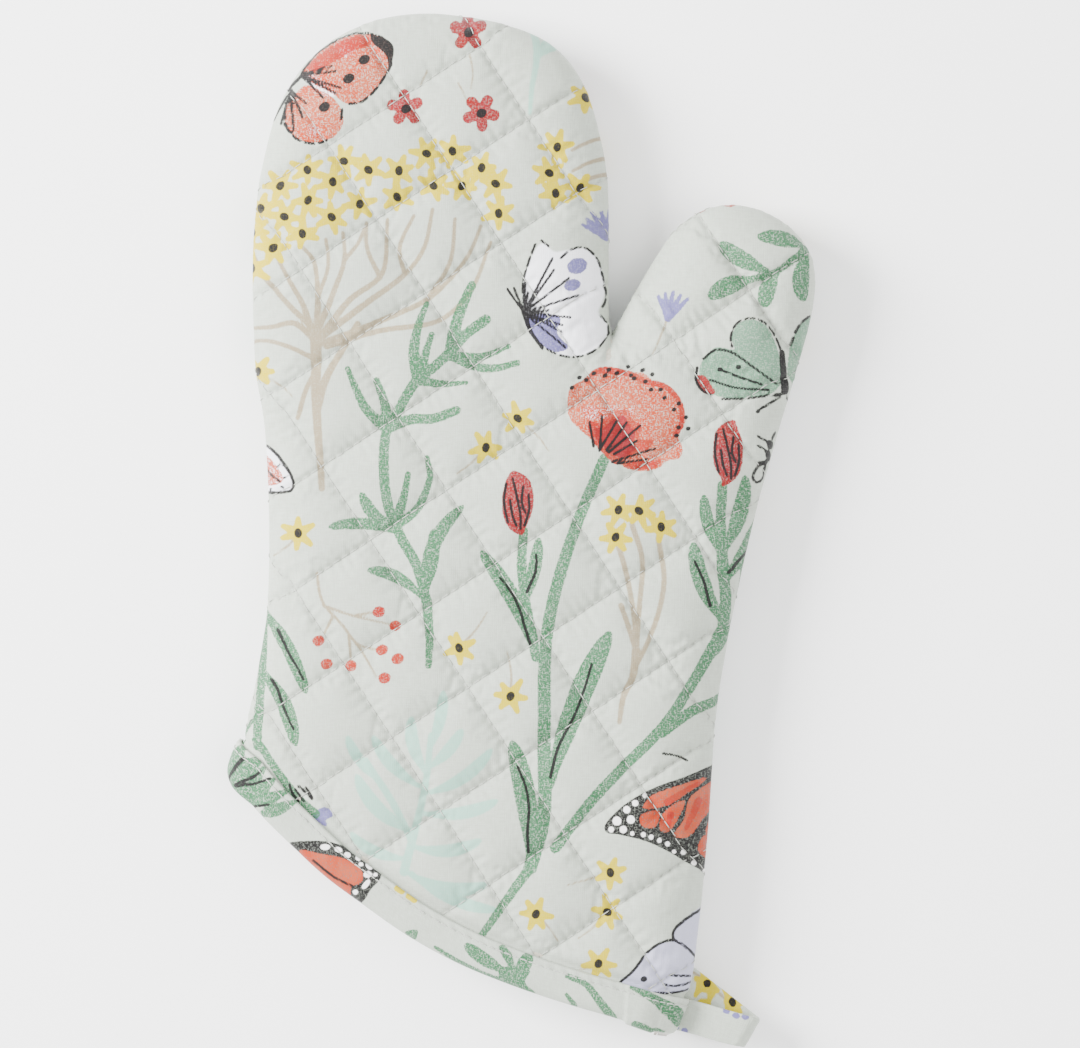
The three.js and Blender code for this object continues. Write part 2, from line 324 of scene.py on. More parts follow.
def panel(loop, steps, margin):
    """A flat mesh of the loop's inside: first the loop's own points, then quads on the quilting grid."""
    us, vs, used, cells, _ = lattice(loop, steps, margin)
    n = len(loop)
    number = np.full(used.shape, -1)
    number[used] = n + np.arange(used.sum())
    ij = np.argwhere(used)
    uv = np.stack([us[ij[:, 0]], vs[ij[:, 1]]], 1)
    xy = np.vstack([loop, to_xy(uv)])
    quads = grid_quads(number, cells)
    edges = np.vstack([quads[:, [k, (k + 1) % 4]] for k in range(4)])
    key = np.sort(edges, 1)
    _, first, count = np.unique(key, axis=0, return_index=True, return_counts=True)
    border = edges[first[count == 1]]
    rim = np.unique(border)
    pick = np.concatenate([np.arange(n), rim])
    local = {int(p): k for k, p in enumerate(pick)}
    wires = [(k, (k + 1) % n) for k in range(n)] + [(local[int(a)], local[int(b)]) for a, b in border]
    _, _, faces, origin, _, _ = delaunay_2d_cdt([Vector(p) for p in xy[pick]], wires, [], 0, 1e-7)
    back = [int(pick[o[0]]) for o in origin]
    tris = np.array([[back[k] for k in f] for f in faces if len(f) == 3])
    p, q, r = xy[tris].transpose(1, 0, 2)
    twice_area = np.abs((q - p)[:, 0] * (r - p)[:, 1] - (q - p)[:, 1] * (r - p)[:, 0])
    tris = tris[twice_area > SLIVER]
    centre = xy[tris].mean(1)
    cuv = to_uv(centre)
    cell = np.floor((cuv - [us[0], vs[0]]) / (PITCH / steps)).astype(int)
    cell = np.clip(cell, 0, np.array(cells.shape) - 1)
    keep = ~cells[cell[:, 0], cell[:, 1]] & is_inside(centre, loop)
    return xy, [tuple(f) for f in quads.tolist() + tris[keep].tolist()]


def outlines(step):
    """The plan of the hand with the fingers, and of the thumb, cut along one line."""
    left, right = spline(LEFT, step), spline(RIGHT, step)
    cuff = spline(CUFF, step)
    i = cross_at(left, cuff)
    j = cross_at(right[len(right) // 2:], cuff) + len(right) // 2
    k0 = int(((cuff - left[i]) ** 2).sum(1).argmin())
    k1 = int(((cuff - right[j]) ** 2).sum(1).argmin())
    edge = even(np.vstack([left[i], cuff[k0 + 1:k1], right[j]]), step)[1:-1]
    level = right @ FOLD_N
    m = int(np.nonzero(level > FOLD_C)[0].max())
    cut = even(np.array([CROTCH[0], right[m + 1]]), step)
    hand = np.vstack([edge, right[m + 1:j + 1][::-1], cut[1:-1][::-1], CROTCH, left[i:][::-1]])
    thumb = np.vstack([cut[:-1], right[:m + 2][::-1]])
    return {"hand": hand, "thumb": thumb}


SIM_SCALE = 0.01                             # the cloth is simulated ten times its real size
SIM_FRAMES = 20
SIM_REACH = 6.0                              # a node that moves farther than this is held back to it


def simulate(side, loop):
    """Cloth blown up between the quilting lines: how far each grid node moves, in millimetres."""
    us, vs, used, cells, lo = lattice(loop, SIM, SHELL_GAP)
    ij = np.argwhere(used)
    uv = np.stack([us[ij[:, 0]], vs[ij[:, 1]]], 1)
    number = np.full(used.shape, -1)
    number[used] = np.arange(len(ij))
    quads = grid_quads(number, cells)
    if side == "back":
        quads = quads[:, ::-1]
    place, _, _, _ = base_surface(side, to_xy(uv))
    grid = ij + lo
    on_line = (grid[:, 0] % SIM[0] == 0) | (grid[:, 1] % SIM[1] == 0)
    count = np.bincount(quads.ravel(), minlength=len(ij))
    pinned = on_line | (count < 4)
    mesh = bpy.data.meshes.new("sim")
    mesh.from_pydata((place * SIM_SCALE).tolist(), [], quads.tolist())
    body = bpy.data.objects.new("sim", mesh)
    bpy.context.scene.collection.objects.link(body)
    group = body.vertex_groups.new(name="pin")
    group.add(np.nonzero(pinned)[0].tolist(), 1.0, "REPLACE")
    cloth = body.modifiers.new("cloth", "CLOTH")
    s = cloth.settings
    s.vertex_group_mass = "pin"
    s.quality = 4
    s.mass = 0.25
    s.tension_stiffness = s.compression_stiffness = 12
    s.shear_stiffness = 6
    s.bending_stiffness = 0.3
    s.tension_damping = s.compression_damping = 8
    s.shrink_min = -0.03
    s.effector_weights.gravity = 0
    s.use_pressure = True
    s.uniform_pressure_force = 14
    cloth.collision_settings.use_collision = False
    cloth.collision_settings.use_self_collision = False
    scene = bpy.context.scene
    cloth.point_cache.frame_start, cloth.point_cache.frame_end = 1, SIM_FRAMES
    for f in range(1, SIM_FRAMES + 1):
        scene.frame_set(f)
    moved = np.zeros(len(ij) * 3)
    body.evaluated_get(bpy.context.evaluated_depsgraph_get()).data.vertices.foreach_get("co", moved)
    moved = moved.reshape(-1, 3) / SIM_SCALE - place
    bpy.data.objects.remove(body)
    scene.frame_set(1)
    out = np.zeros(used.shape + (3,))
    out[used] = np.clip(moved, -SIM_REACH, SIM_REACH)
    return out, lo


def puff_field(side, loop):
    """Returns a function that gives a panel's puff at points of the flat pattern."""
    height = PUFF[side]
    grid, lo = simulate(side, loop)
    tall = np.percentile(np.abs(grid[..., 2][grid[..., 2] != 0]), 90)
    print("SIM", side, "crest before scaling", tall)
    grid = grid * (height / max(tall, 1e-6))

    def puff(xy, normal):
        at = (to_uv(xy) - PHASE) / (PITCH / SIM) - lo
        return cubic(grid, at[:, 0], at[:, 1])
    return puff


def line_distance(uv):
    """How far each point is from the quilting lines of each family."""
    f = (uv - PHASE) / PITCH
    return np.abs(f - np.round(f)) * PITCH


def needle_hole_shade(xy):
    """Painted shade at the holes the needle left along the quilting lines: 1 at a hole, falling to 0 around
    it.
    """
    uv = to_uv(xy)
    gap = line_distance(uv)
    run = (uv - PHASE) / STITCH_PITCH
    off = np.abs(run - np.round(run)) * STITCH_PITCH
    near = [np.exp(-((gap[:, k] ** 2 + off[:, 1 - k] ** 2) / HOLE_SHADE_R ** 2)) for k in (0, 1)]
    return np.maximum(*near)


# from the cuff's edge: under the binding, and quite clear of it
BOUND, CLEAR = 9.5, 17.0
STITCH_DIP, HOLE_DIP, LINE_R = 0.24, 0.24, 1.0
SCALLOP, SCALLOP_AT = 0.16, 1.9              # the cloth rises beside each stitch, this far from the line
TROUGH, TROUGH_AT, TROUGH_R = 0.8, 11.4, 1.1     # the binding's upper edge presses the cloth in
PUCKERS = ((-103, 1.6), (-62, 0.7), (-142, 0.6))     # direction and depth of the creases at the crotch
TABLE_Z = -1.5


def free(cuff):
    """0 under the binding, which holds the cloth flat, and 1 clear of it."""
    return smoothstep(cuff, BOUND, CLEAR)


def surface(side, xy, puff):
    """The finished outer face of a panel."""
    place, normal, d, cuff = base_surface(side, xy)
    gap = line_distance(to_uv(xy))
    uv = to_uv(xy) - PHASE
    out = place + puff(xy, normal) * (smoothstep(d, 0.0, 2.5) * free(cuff))[:, None]
    dip = np.zeros(len(xy))
    for k in (0, 1):
        q = gap[:, k]
        run = uv[:, 1 - k] / STITCH_PITCH[1 - k]
        hole = 0.5 + 0.5 * np.cos(2 * math.pi * run)
        dip += np.exp(-(q / LINE_R) ** 2) * (STITCH_DIP + HOLE_DIP * hole)
        dip -= SCALLOP * np.exp(-((q - SCALLOP_AT) / LINE_R) ** 2) * (0.5 - hole)
    dip *= smoothstep(d, 0.5, 4)
    dip += TROUGH * np.exp(-((cuff - TROUGH_AT) / TROUGH_R) ** 2)
    out -= normal * dip[:, None]
    crotch = np.array(CROTCH[0])
    pucker = np.zeros(len(xy))
    for angle, depth in PUCKERS:
        a = math.radians(angle)
        along = (xy - crotch) @ [math.cos(a), math.sin(a)]
        across = (xy - crotch) @ [-math.sin(a), math.cos(a)]
        crease = np.exp(-(across / (1.0 + 0.09 * along.clip(0))) ** 2)
        pucker += depth * crease * smoothstep(along, -0.5, 1.5) * (1 - smoothstep(along, 6, 15))
    out[:, 2] -= pucker * (1 if side == "front" else -0.5)
    if side == "back":
        out[:, 2] = np.maximum(out[:, 2], TABLE_Z)
    return out, normal, d, cuff


# ---------------------------------------------------------------- objects
def new_object(name, verts, faces):
    """A smooth mesh object, its points given in the drawing's millimetres."""
    mesh = bpy.data.meshes.new(name)
    mesh.from_pydata(((verts - ORIGIN) / 1000).tolist(), [], faces)
    mesh.shade_smooth()
    mesh.validate()
    obj = bpy.data.objects.new(name, mesh)
    bpy.context.scene.collection.objects.link(obj)
    return obj


def sharpen(obj, pairs):
    """Marks the edges between these vertices as sharp."""
    mesh = obj.data
    ends = np.zeros(len(mesh.edges) * 2, int)
    mesh.edges.foreach_get("vertices", ends)
    ends = np.sort(ends.reshape(-1, 2), 1)
    want = {tuple(sorted(p)) for p in pairs}
    flags = np.array([tuple(e) in want for e in ends.tolist()])
    attribute = mesh.attributes.get("sharp_edge") or mesh.attributes.new("sharp_edge", "BOOLEAN", "EDGE")
    attribute.data.foreach_set("value", flags)


def flip(faces):
    return [tuple(reversed(f)) for f in faces]


FOLLOW = 0.8                                 # how much of the cover's puff the layers under it share


def layer_points(side, xy, depth, puff):
    """Points of a panel at a depth below its outer face."""
    place, normal, d, cuff = base_surface(side, xy)
    out = place + FOLLOW * puff(xy, normal) * (smoothstep(d, 0.5, 5) * free(cuff))[:, None]
    return out - normal * depth


def layer_piece(name, side, zone, layer, puff, fine_loops, coarse_loops, steps):
    """One closed layer of a panel: its outer face, its inner face and the rim between them."""
    outer_depth, inner_depth = LAYERS[layer]
    # only the cover's outer face needs the fine mesh
    loop = (fine_loops if layer == "shell" else coarse_loops)[zone]
    steps, gap = (steps, SHELL_GAP) if layer == "shell" else (COARSE, COARSE_GAP)
    xy, faces = panel(loop, steps, gap)
    n = len(loop)
    if layer == "shell":
        outer = surface(side, xy, puff)[0]
        # the print follows the plan halfway where the cloth turns down
        xy = (xy + outer[:, :2]) / 2
    else:
        outer = layer_points(side, xy, outer_depth, puff)
    inner_xy, inner_faces = panel(loop, COARSE, COARSE_GAP)
    inner = layer_points(side, inner_xy, inner_depth, puff)
    shift = len(outer)
    front = side == "front"
    top = faces if front else flip(faces)
    low = [tuple(k + shift for k in f) for f in (flip(inner_faces) if front else inner_faces)]
    rim = [(k, shift + k, shift + (k + 1) % n, (k + 1) % n) for k in range(n)]
    rim = rim if front else flip(rim)
    obj = new_object(name, np.vstack([outer, inner]), top + low + rim)
    ring = [(k, (k + 1) % n) for k in range(n)]
    sharpen(obj, ring + [(shift + a, shift + b) for a, b in ring])
    slots = np.zeros(len(obj.data.polygons), np.int32)
    slots[len(top):] = 1
    obj.data.polygons.foreach_set("material_index", slots)
    return obj, xy, shift


def coarse_points(zone, loops):
    """The inner face's points on the flat pattern."""
    return panel(loops[zone], COARSE, COARSE_GAP)[0]


def bind(obj, zone):
    """Bakes a piece's place into its mesh, the same for the hand and the thumb."""
    if zone == "hand":
        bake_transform(obj)
    else:
        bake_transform(obj)


# ---------------------------------------------------------------- stitches
THREAD_SIDES = 6


def tube_faces(rings, sides):
    """The walls of a tube of rings, each with so many sides."""
    return [(r * sides + k, r * sides + (k + 1) % sides, (r + 1) * sides + (k + 1) % sides,
             (r + 1) * sides + k)
            for r in range(rings - 1) for k in range(sides)]


def tube_caps(rings, sides):
    """The two ends of that tube."""
    return [tuple(range(sides - 1, -1, -1)), tuple(range((rings - 1) * sides, rings * sides))]


def capsules(name, middles, along, up, length, radius, sag=0.3):
    """Short threads, each dipping into the cloth at its two ends."""
    stations = np.array([-1, -0.86, -0.45, 0, 0.45, 0.86, 1]) * length / 2
    width = np.array([0.05, 0.75, 1, 1, 1, 0.75, 0.05]) * radius
    drop = np.array([-1, -0.45, 0.1, 0.25, 0.1, -0.45, -1]) * sag
    side = np.cross(up, along)
    around = np.arange(THREAD_SIDES) * math.pi / 3
    ring = (side[:, None] * np.cos(around)[:, None] + up[:, None] * np.sin(around)[:, None])
    verts = (middles[:, None, None] + along[:, None, None] * stations[:, None, None]
             + up[:, None, None] * drop[:, None, None] + ring[:, None] * width[:, None, None])
    m, n = len(stations), len(middles)
    faces = tube_faces(m, THREAD_SIDES) + tube_caps(m, THREAD_SIDES)
    size = m * THREAD_SIDES
    every = [tuple(i * size + k for k in f) for i in range(n) for f in faces]
    obj = new_object(name, verts.reshape(-1, 3), every)
    strand = np.zeros((n, m, THREAD_SIDES, 3))
    strand[..., 0] = stations[:, None] + 3.1 * np.arange(n)[:, None, None]      # each thread its own look
    strand[..., 1] = around * radius
    store(obj, "strand", strand, "FLOAT_VECTOR")
    return obj


STITCH_LIFT, STITCH_STRAY = 0.12, 0.12       # above the cloth, and to either side of the line
STITCH_LENGTH, STITCH_R = 2.85, 0.15


def between(lo, hi, start, pitch):
    """Counting marks a pitch apart from start: the first one past lo, and how far along hi is."""
    return math.ceil((lo - start) / pitch), (hi - start) / pitch


def quilt_stitches(side, loop, puff):
    """Middles, directions and normals of the running stitches on one panel's quilting lines."""
    uv = to_uv(loop)
    lo, hi = uv.min(0), uv.max(0)
    spots = []
    for k in (0, 1):
        j = 1 - k
        first, last = between(lo[k], hi[k], PHASE[k], PITCH[k])
        lines = np.arange(first, last)
        first, last = between(lo[j], hi[j], PHASE[j], STITCH_PITCH[j])
        runs = np.arange(first - 1, last)
        a, b = np.meshgrid(lines, runs + 0.5, indexing="ij")
        pair = np.zeros((a.size, 2))
        pair[:, k] = PHASE[k] + a.ravel() * PITCH[k]
        pair[:, j] = PHASE[j] + b.ravel() * STITCH_PITCH[j]
        pair[:, k] += rng.normal(0, STITCH_STRAY, len(pair))
        spots.append((pair, k, STITCH_PITCH[j]))
    middles, along, normals = [], [], []
    for pair, k, length in spots:
        xy = to_xy(pair)
        d, _ = nearest(xy, SIDE)
        c, _ = nearest(xy, CUFF_LINE)
        keep = is_inside(xy, loop) & (d > 0.8) & (c > 10.0)
        xy, pair = xy[keep], pair[keep]
        reach = np.zeros_like(pair)
        reach[:, 1 - k] = length / 2
        ends = [surface(side, to_xy(pair + s * reach), puff)[0] for s in (-0.8, 0.8)]
        mid, normal, _, _ = surface(side, xy, puff)
        run = ends[1] - ends[0]
        run /= np.linalg.norm(run, axis=1, keepdims=True)
        normal = normal - run * (normal * run).sum(1, keepdims=True)
        normal /= np.linalg.norm(normal, axis=1, keepdims=True)
        middles.append(mid + normal * STITCH_LIFT)
        along.append(run)
        normals.append(normal)
    return np.vstack(middles), np.vstack(along), np.vstack(normals)


def row_stitches(path, up, pitch):
    """Stitches end to end along a path with an outward direction at each point."""
    line = even(np.hstack([path, up]), pitch / 4)
    here, there = line[:-4:4], line[4::4]
    mid = line[2:-2:4][:len(here)]
    run = there[:, :3] - here[:len(there), :3]
    run /= np.linalg.norm(run, axis=1, keepdims=True)
    normal = mid[:, 3:] - run * (mid[:, 3:] * run).sum(1, keepdims=True)
    normal /= np.linalg.norm(normal, axis=1, keepdims=True)
    return mid[:, :3], run, normal


# ---------------------------------------------------------------- the printed pattern, drawn in millimetres
INKS = ("mint", "tan", "mist", "pale", "lilac", "sage", "green", "dark", "poppy", "flame", "yellow",
        "red", "black", "white")
THIN = {"black": 0.42, "white": 0.4}         # half the thinnest line that the mesh can carry
front_art, binding_art, loop_art = [], [], []
page = front_art


def area(ink, points, smooth=True):
    """A filled shape."""
    points = [tuple(p) for p in points]
    line = spline(points, 0.5, closed=True) if smooth else even(np.array(points + points[:1], float), 0.5)
    page.append((ink, line, None))


def stroke(ink, points, width, tip=None):
    """A brush line, tapering to the width tip."""
    line = spline(points, 0.5) if len(points) > 2 else even(np.array(points, float), 0.5)
    half = np.linspace(width, width if tip is None else tip, len(line)) / 2
    page.append((ink, line, half.clip(THIN[ink] if ink in THIN else 0)))


def dash(ink, points, width, on=3.4, off=1.0):
    """A broken brush line."""
    line = spline(points, 0.25)
    size = int((on + off) * 4)
    for i in range(0, len(line) - 2, size):
        piece = line[i:i + int(on * 4)]
        if len(piece) > 3:
            page.append((ink, piece, np.full(len(piece), max(width / 2, THIN[ink]))))


def dot(ink, x, y, rx, ry=None, turn=0.0):
    """A round or oval spot."""
    a = np.linspace(0, 2 * math.pi, 21)
    t = math.radians(turn)
    p, q = rx * np.cos(a), (ry or rx) * np.sin(a)
    page.append((ink, np.stack([x + p * math.cos(t) - q * math.sin(t),
                                y + p * math.sin(t) + q * math.cos(t)], 1), None))


def leaf(base, tip, width, bend=0.0, ink="green", vein=None):
    """A leaf from base to tip, perhaps with a black line down its middle."""
    a, b = np.array(base, float), np.array(tip, float)
    ab = b - a
    n = np.array([-ab[1], ab[0]]) / np.linalg.norm(ab)
    t = np.array([0, 0.12, 0.35, 0.6, 0.82, 0.95, 1])
    w = np.array([0.25, 0.45, 0.85, 1, 0.85, 0.5, 0]) * width / 2
    mid = a + ab * t[:, None] + n * (bend * 4 * t * (1 - t))[:, None]
    area(ink, np.vstack([mid + n * w[:, None], (mid - n * w[:, None])[::-1][1:]]))
    if vein:
        lo, hi = vein
        s = np.linspace(lo, hi, 5)
        wave = 0.12 * width * np.sin(s * 9)
        stroke("black", a + ab * s[:, None] + n * (bend * 4 * s * (1 - s) + wave)[:, None], 1.05, 0.8)


def yellow(x, y, turn=0.0, r=4.9):
    """A small yellow flower with pointed petals and a dark middle."""
    for k in range(6):
        a = math.radians(turn + 60 * k) + rng.normal(0, 0.12)
        reach = r * (0.95 + rng.normal(0, 0.07))
        tip = (x + reach * math.cos(a), y + reach * math.sin(a))
        stroke("yellow", [(x, y), tip], 3.5, 1.7)
    dot("black", x, y, 1.55, 1.25, turn * 2 + 60)


def red_flower(x, y, turn=0.0, r=5.6):
    """A small red flower with five round petals and a dark middle."""
    for k in range(5):
        a = math.radians(turn + 72 * k)
        stroke("red", [(x, y), (x + r * 0.74 * math.cos(a), y + r * 0.74 * math.sin(a))], 3.2, 3.5)
    dot("black", x + 0.2, y - 0.3, 1.7, 1.4, 30)


def tassel(x, y, turn):
    """A little lilac tuft."""
    for k, long in zip(range(-2, 3), (8.6, 8.0, 8.4, 7.6, 7.4)):
        a = math.radians(turn + 17 * k)
        stroke("lilac", [(x, y), (x + long * math.cos(a), y + long * math.sin(a))], 2.4, 1.0)


def tuck(x, y, long, turn):
    """The end of a thin tan stem."""
    a = math.radians(turn)
    stroke("tan", [(x, y), (x + long * 0.55 * math.cos(a) + 0.8, y + long * 0.55 * math.sin(a)),
                   (x + long * math.cos(a), y + long * math.sin(a))], 0.9, 0.5)


def draw_front():
    # orange butterfly at the finger tips
    area("poppy", [(-67.5, 142), (-63.5, 147.5), (-57, 152), (-49, 154), (-42, 152.8), (-39.8, 149),
                   (-41, 143.5), (-45, 137), (-49.5, 133.2), (-54, 132.8), (-58.5, 136), (-65, 139.5)])
    area("flame", [(-66, 144), (-61, 148.5), (-55, 152), (-48, 153.6), (-46, 152), (-52, 149),
                   (-58, 145.5), (-63, 142.6)])
    area("pale", [(-66.5, 141.5), (-64, 141.8), (-60, 138.5), (-57, 135.5), (-60, 134.8), (-65, 138.6)])
    area("pale", [(-56, 149.4), (-53, 150.4), (-51, 149), (-54, 147)])
    area("poppy", [(-69, 136), (-66, 138.5), (-62, 137), (-58, 134.5), (-55.5, 131), (-55, 126.5),
                   (-58, 122.5), (-63.5, 120.8), (-69, 122), (-72, 125.5), (-72.3, 131)])
    area("pale", [(-66, 125.2), (-63, 126), (-62, 124), (-64.6, 122.8)])
    area("black", [(-46.5, 153), (-42, 153), (-39.4, 150.4), (-40, 145), (-41, 143.2), (-41.4, 147),
                   (-43.4, 149.6), (-45.2, 151)])
    stroke("black", [(-67.5, 142.3), (-63.5, 147.8), (-57, 152.3), (-49, 154.3), (-43, 153.3)], 0.8)
    dash("black", [(-40, 145), (-42, 141.5), (-45, 137), (-49.4, 133.2), (-53, 132.6)], 0.9)
    dash("black", [(-72.4, 131), (-72, 125.5), (-69, 121.8), (-63.5, 120.5), (-58.5, 122.2)], 0.9)
    stroke("black", [(-55.5, 128), (-55.2, 131)], 0.9)
    for x, y in ((-48.5, 146.3), (-53.2, 140.4), (-60.6, 131.8)):
        dot("black", x, y, 1.9, 1.5, 30)
    for tip in ((-58.5, 144.5), (-57, 142.8), (-55.5, 137.5), (-57, 135.8), (-61, 134.6)):
        stroke("black", [(-67.5, 141.5), tip], 0.9, 0.45)
    for tip in ((-70.3, 124.5), (-73.5, 126.5), (-76, 128), (-67.6, 128.6), (-66.4, 133)):
        stroke("black", [(-70.5, 137), tip], 1.0, 0.45)
    stroke("black", [(-71.5, 137.5), (-66, 142.5)], 1.4, 1.0)
    # red flowers
    for x, y, turn in ((-16.6, 155, 20), (-35.8, 131.4, 95), (-12.6, 129.9, 60)):
        red_flower(x, y, turn)
    stroke("tan", [(-16, 148), (-15, 142), (-15.6, 137)], 0.7, 0.4)
    stroke("tan", [(-29, 143), (-31.5, 138)], 0.7, 0.4)
    stroke("tan", [(-19.5, 139), (-16, 132)], 0.7, 0.4)
    # mint leaf at the tips
    stroke("mint", [(3, 157), (4.5, 147), (3.2, 138), (2.6, 130)], 2.6, 1.2)
    leaf((4.5, 147), (13, 153.5), 5, 1.0, "mint")
    # the tan umbel
    trunk = [(-61.5, 14), (-62.4, 28), (-63.1, 42), (-63.3, 60)]
    stroke("tan", trunk, 2.0, 3.6)
    stroke("tan", [(-63, 38), (-60, 48), (-54.5, 58), (-50.5, 65)], 2.8, 1.8)
    stroke("tan", [(-69, 36), (-66, 45), (-63.5, 50)], 1.6)
    for points, wide in (([(-63.2, 58), (-67, 70), (-72, 79), (-75.5, 86)], 2.2),
                         ([(-63.3, 58), (-62.8, 74), (-64, 84), (-68.5, 90)], 2.4),
                         ([(-63.2, 62), (-58, 74), (-54.5, 84), (-55, 93)], 2.2),
                         ([(-62.5, 60), (-53, 72), (-43, 80), (-41.5, 92), (-41.2, 97)], 2.3),
                         ([(-61.5, 61), (-48, 71), (-36, 80), (-30, 88), (-27.3, 100)], 2.3),
                         ([(-60.5, 59), (-44, 65.5), (-28, 73), (-17, 85), (-12.5, 95)], 2.3),
                         ([(-60, 58), (-44, 62.5), (-26, 65.5), (-16, 74), (-9.5, 90)], 2.0),
                         ([(-63.5, 60), (-70, 65), (-77, 64), (-83, 64)], 2.2),
                         ([(-63.5, 63), (-72, 71), (-79, 80), (-82, 87)], 2.0),
                         ([(-63.4, 54), (-72, 58), (-80, 60), (-84, 59)], 1.6),
                         ([(-43.5, 79), (-47.5, 88), (-47.8, 96)], 1.6),
                         ([(-36, 80), (-37.5, 88), (-33, 98)], 1.5),
                         ([(-28.5, 73), (-22, 84), (-20.5, 97)], 1.6),
                         ([(-54.6, 84), (-50, 90), (-48.5, 94)], 1.4),
                         ([(-62.8, 73), (-59.5, 82), (-60.2, 91)], 1.4)):
        stroke("tan", points, wide, 1.1)
    for x, y, turn in ((-74.2, 107.6, 5), (-65.9, 112.2, 30), (-54.7, 115, 50), (-58.1, 108.5, 20),
                       (-65.6, 102.9, 0), (-47, 112.2, 40), (-37.7, 111.9, 15), (-29.3, 117.2, 50),
                       (-21.2, 118.1, 25), (-12.2, 112.8, 10), (-27.1, 107.3, 35), (-18.4, 107.3, 0),
                       (-7.9, 107.9, 45), (-7, 98.9, 20), (-38.3, 103.9, 30), (-49.8, 101.7, 10),
                       (-58.4, 97.7, 40), (-79.8, 100.8, 15), (-73, 98, 50), (-67.4, 92.7, 25),
                       (-76.4, 88.4, 0), (-82.6, 93.6, 40), (-82.6, 82.5, 20)):
        yellow(x, y, turn)
    for x, y, turn in ((18.8, 134.9, 30), (11, 119.4, 10), (8.5, 111.3, 45), (10.4, 105.1, 20),
                       (18.1, 107, 0)):
        yellow(x, y, turn)
    for y in (122, 115.5, 110.5):
        stroke("tan", [(28, y + 1.5), (22, y), (15.5, y - 3.5)], 1.5, 1.0)
    tassel(25.2, 92, 118)
    # white butterfly
    area("pale", [(1, 67.5), (0.6, 77), (3.5, 86), (6.5, 89.6), (10, 87), (14, 87.5), (19.5, 88),
                  (23, 84), (24.6, 77), (24, 72), (22.8, 68.5), (25.5, 65), (24.8, 59.5), (20, 55.6),
                  (13, 55), (7, 57.5), (2.5, 62)])
    area("lilac", [(1.2, 66.5), (8, 68), (12, 66.5), (11, 62), (14.5, 57.5), (10.5, 56), (6, 58.2),
                   (2.6, 62)])
    dot("lilac", 17, 82.8, 3.2, 2.4, 20)
    dot("lilac", 15.6, 76.9, 2.7, 1.8, 15)
    dash("black", [(0.8, 70), (0.4, 77), (2.6, 85), (4.3, 89.3)], 0.8)
    dash("black", [(6, 90.4), (8.4, 88.6)], 0.8, 5)
    dash("black", [(12, 85), (15, 87.6), (19.2, 88.4), (22.6, 85), (24.4, 78), (25, 73), (23.6, 69.5)],
         0.8)
    dash("black", [(23.4, 67.6), (25.8, 64.6), (25.2, 59.6), (20.4, 55.5), (13.4, 54.7), (7, 57.4),
                   (2.6, 62)], 0.8)
    stroke("black", [(0.6, 68.4), (2.8, 62.6), (6.4, 57)], 1.6, 1.0)
    for tip in ((1.2, 78), (2, 74.5), (9.5, 85), (10, 81.5), (14.6, 79), (17.6, 73.8), (8.5, 69),
                (15, 66.8), (12.6, 64.4), (12.4, 62.4), (13.6, 57.4), (-4.5, 75.5), (-2.4, 75.8)):
        stroke("black", [(0.7, 68.2), tip], 1.0, 0.4)
    # the green sprig
    stem = [(-21.8, 56.2), (-27.3, 51.2), (-31.9, 47.6), (-35.5, 42.5), (-38.2, 37.5), (-41.4, 32),
            (-42.3, 21), (-41, 9), (-37.5, 0), (-32, -10), (-29.2, -20.5)]
    stroke("green", stem, 3.0, 3.2)
    stroke("green", [(-29.2, -20.5), (-28.3, -31), (-28.6, -40.5)], 3.4, 2.0)
    for points, wide, tip in (([(-21.8, 55.4), (-20.2, 64.4), (-17.3, 72), (-15.2, 76.6)], 4.4, 2.6),
                              ([(-21.4, 57), (-16.4, 62.1), (-11, 66)], 3.2, 3.2),
                              ([(-20, 54.8), (-11.8, 54.8), (-3.8, 58)], 3.0, 1.5),
                              ([(-21.4, 55), (-14.6, 51.8), (-8.6, 51), (-1.2, 52.6)], 3.4, 1.9),
                              ([(-31.6, 48), (-33, 56), (-31.6, 64.4), (-29.2, 71)], 4.4, 1.6),
                              ([(-30.6, 50.6), (-29.2, 56.6), (-27.6, 61.4)], 3.0, 1.7),
                              ([(-31, 47.2), (-24.6, 46.3), (-16.6, 46.5)], 3.0, 1.1),
                              ([(-41, 32.6), (-34.6, 35.2), (-26.8, 35.6), (-20, 38)], 3.4, 2.8),
                              ([(-42.2, 33), (-47.8, 38.5), (-51, 44.8), (-53.6, 51)], 3.6, 1.6),
                              ([(-41.4, 33.4), (-42.2, 40.6), (-44.7, 47.4)], 3.6, 2.1),
                              ([(-38, 3), (-32.4, 7.4), (-29, 14.6), (-28.2, 18.6), (-29.1, 23.6)], 3.2,
                               1.6), ([(-38.6, 4), (-36.2, 11.6), (-34.9, 18.6)], 3.6, 1.6)):
        stroke("green", points, wide, tip)
    for base, tip, wide, bend in (((-38, 1), (-49.5, 13), 4.0, 1.8), ((-37.5, 0), (-59.5, 2), 3.6, -2.2),
                                  ((-29.5, -20), (-17.6, 9), 4.4, 4.0),
                                  ((-29.6, -18), (-27.2, 1.5), 4.0, -1.0),
                                  ((-30, -20), (-47.5, -11), 4.0, -2.2)):
        leaf(base, tip, wide, bend)
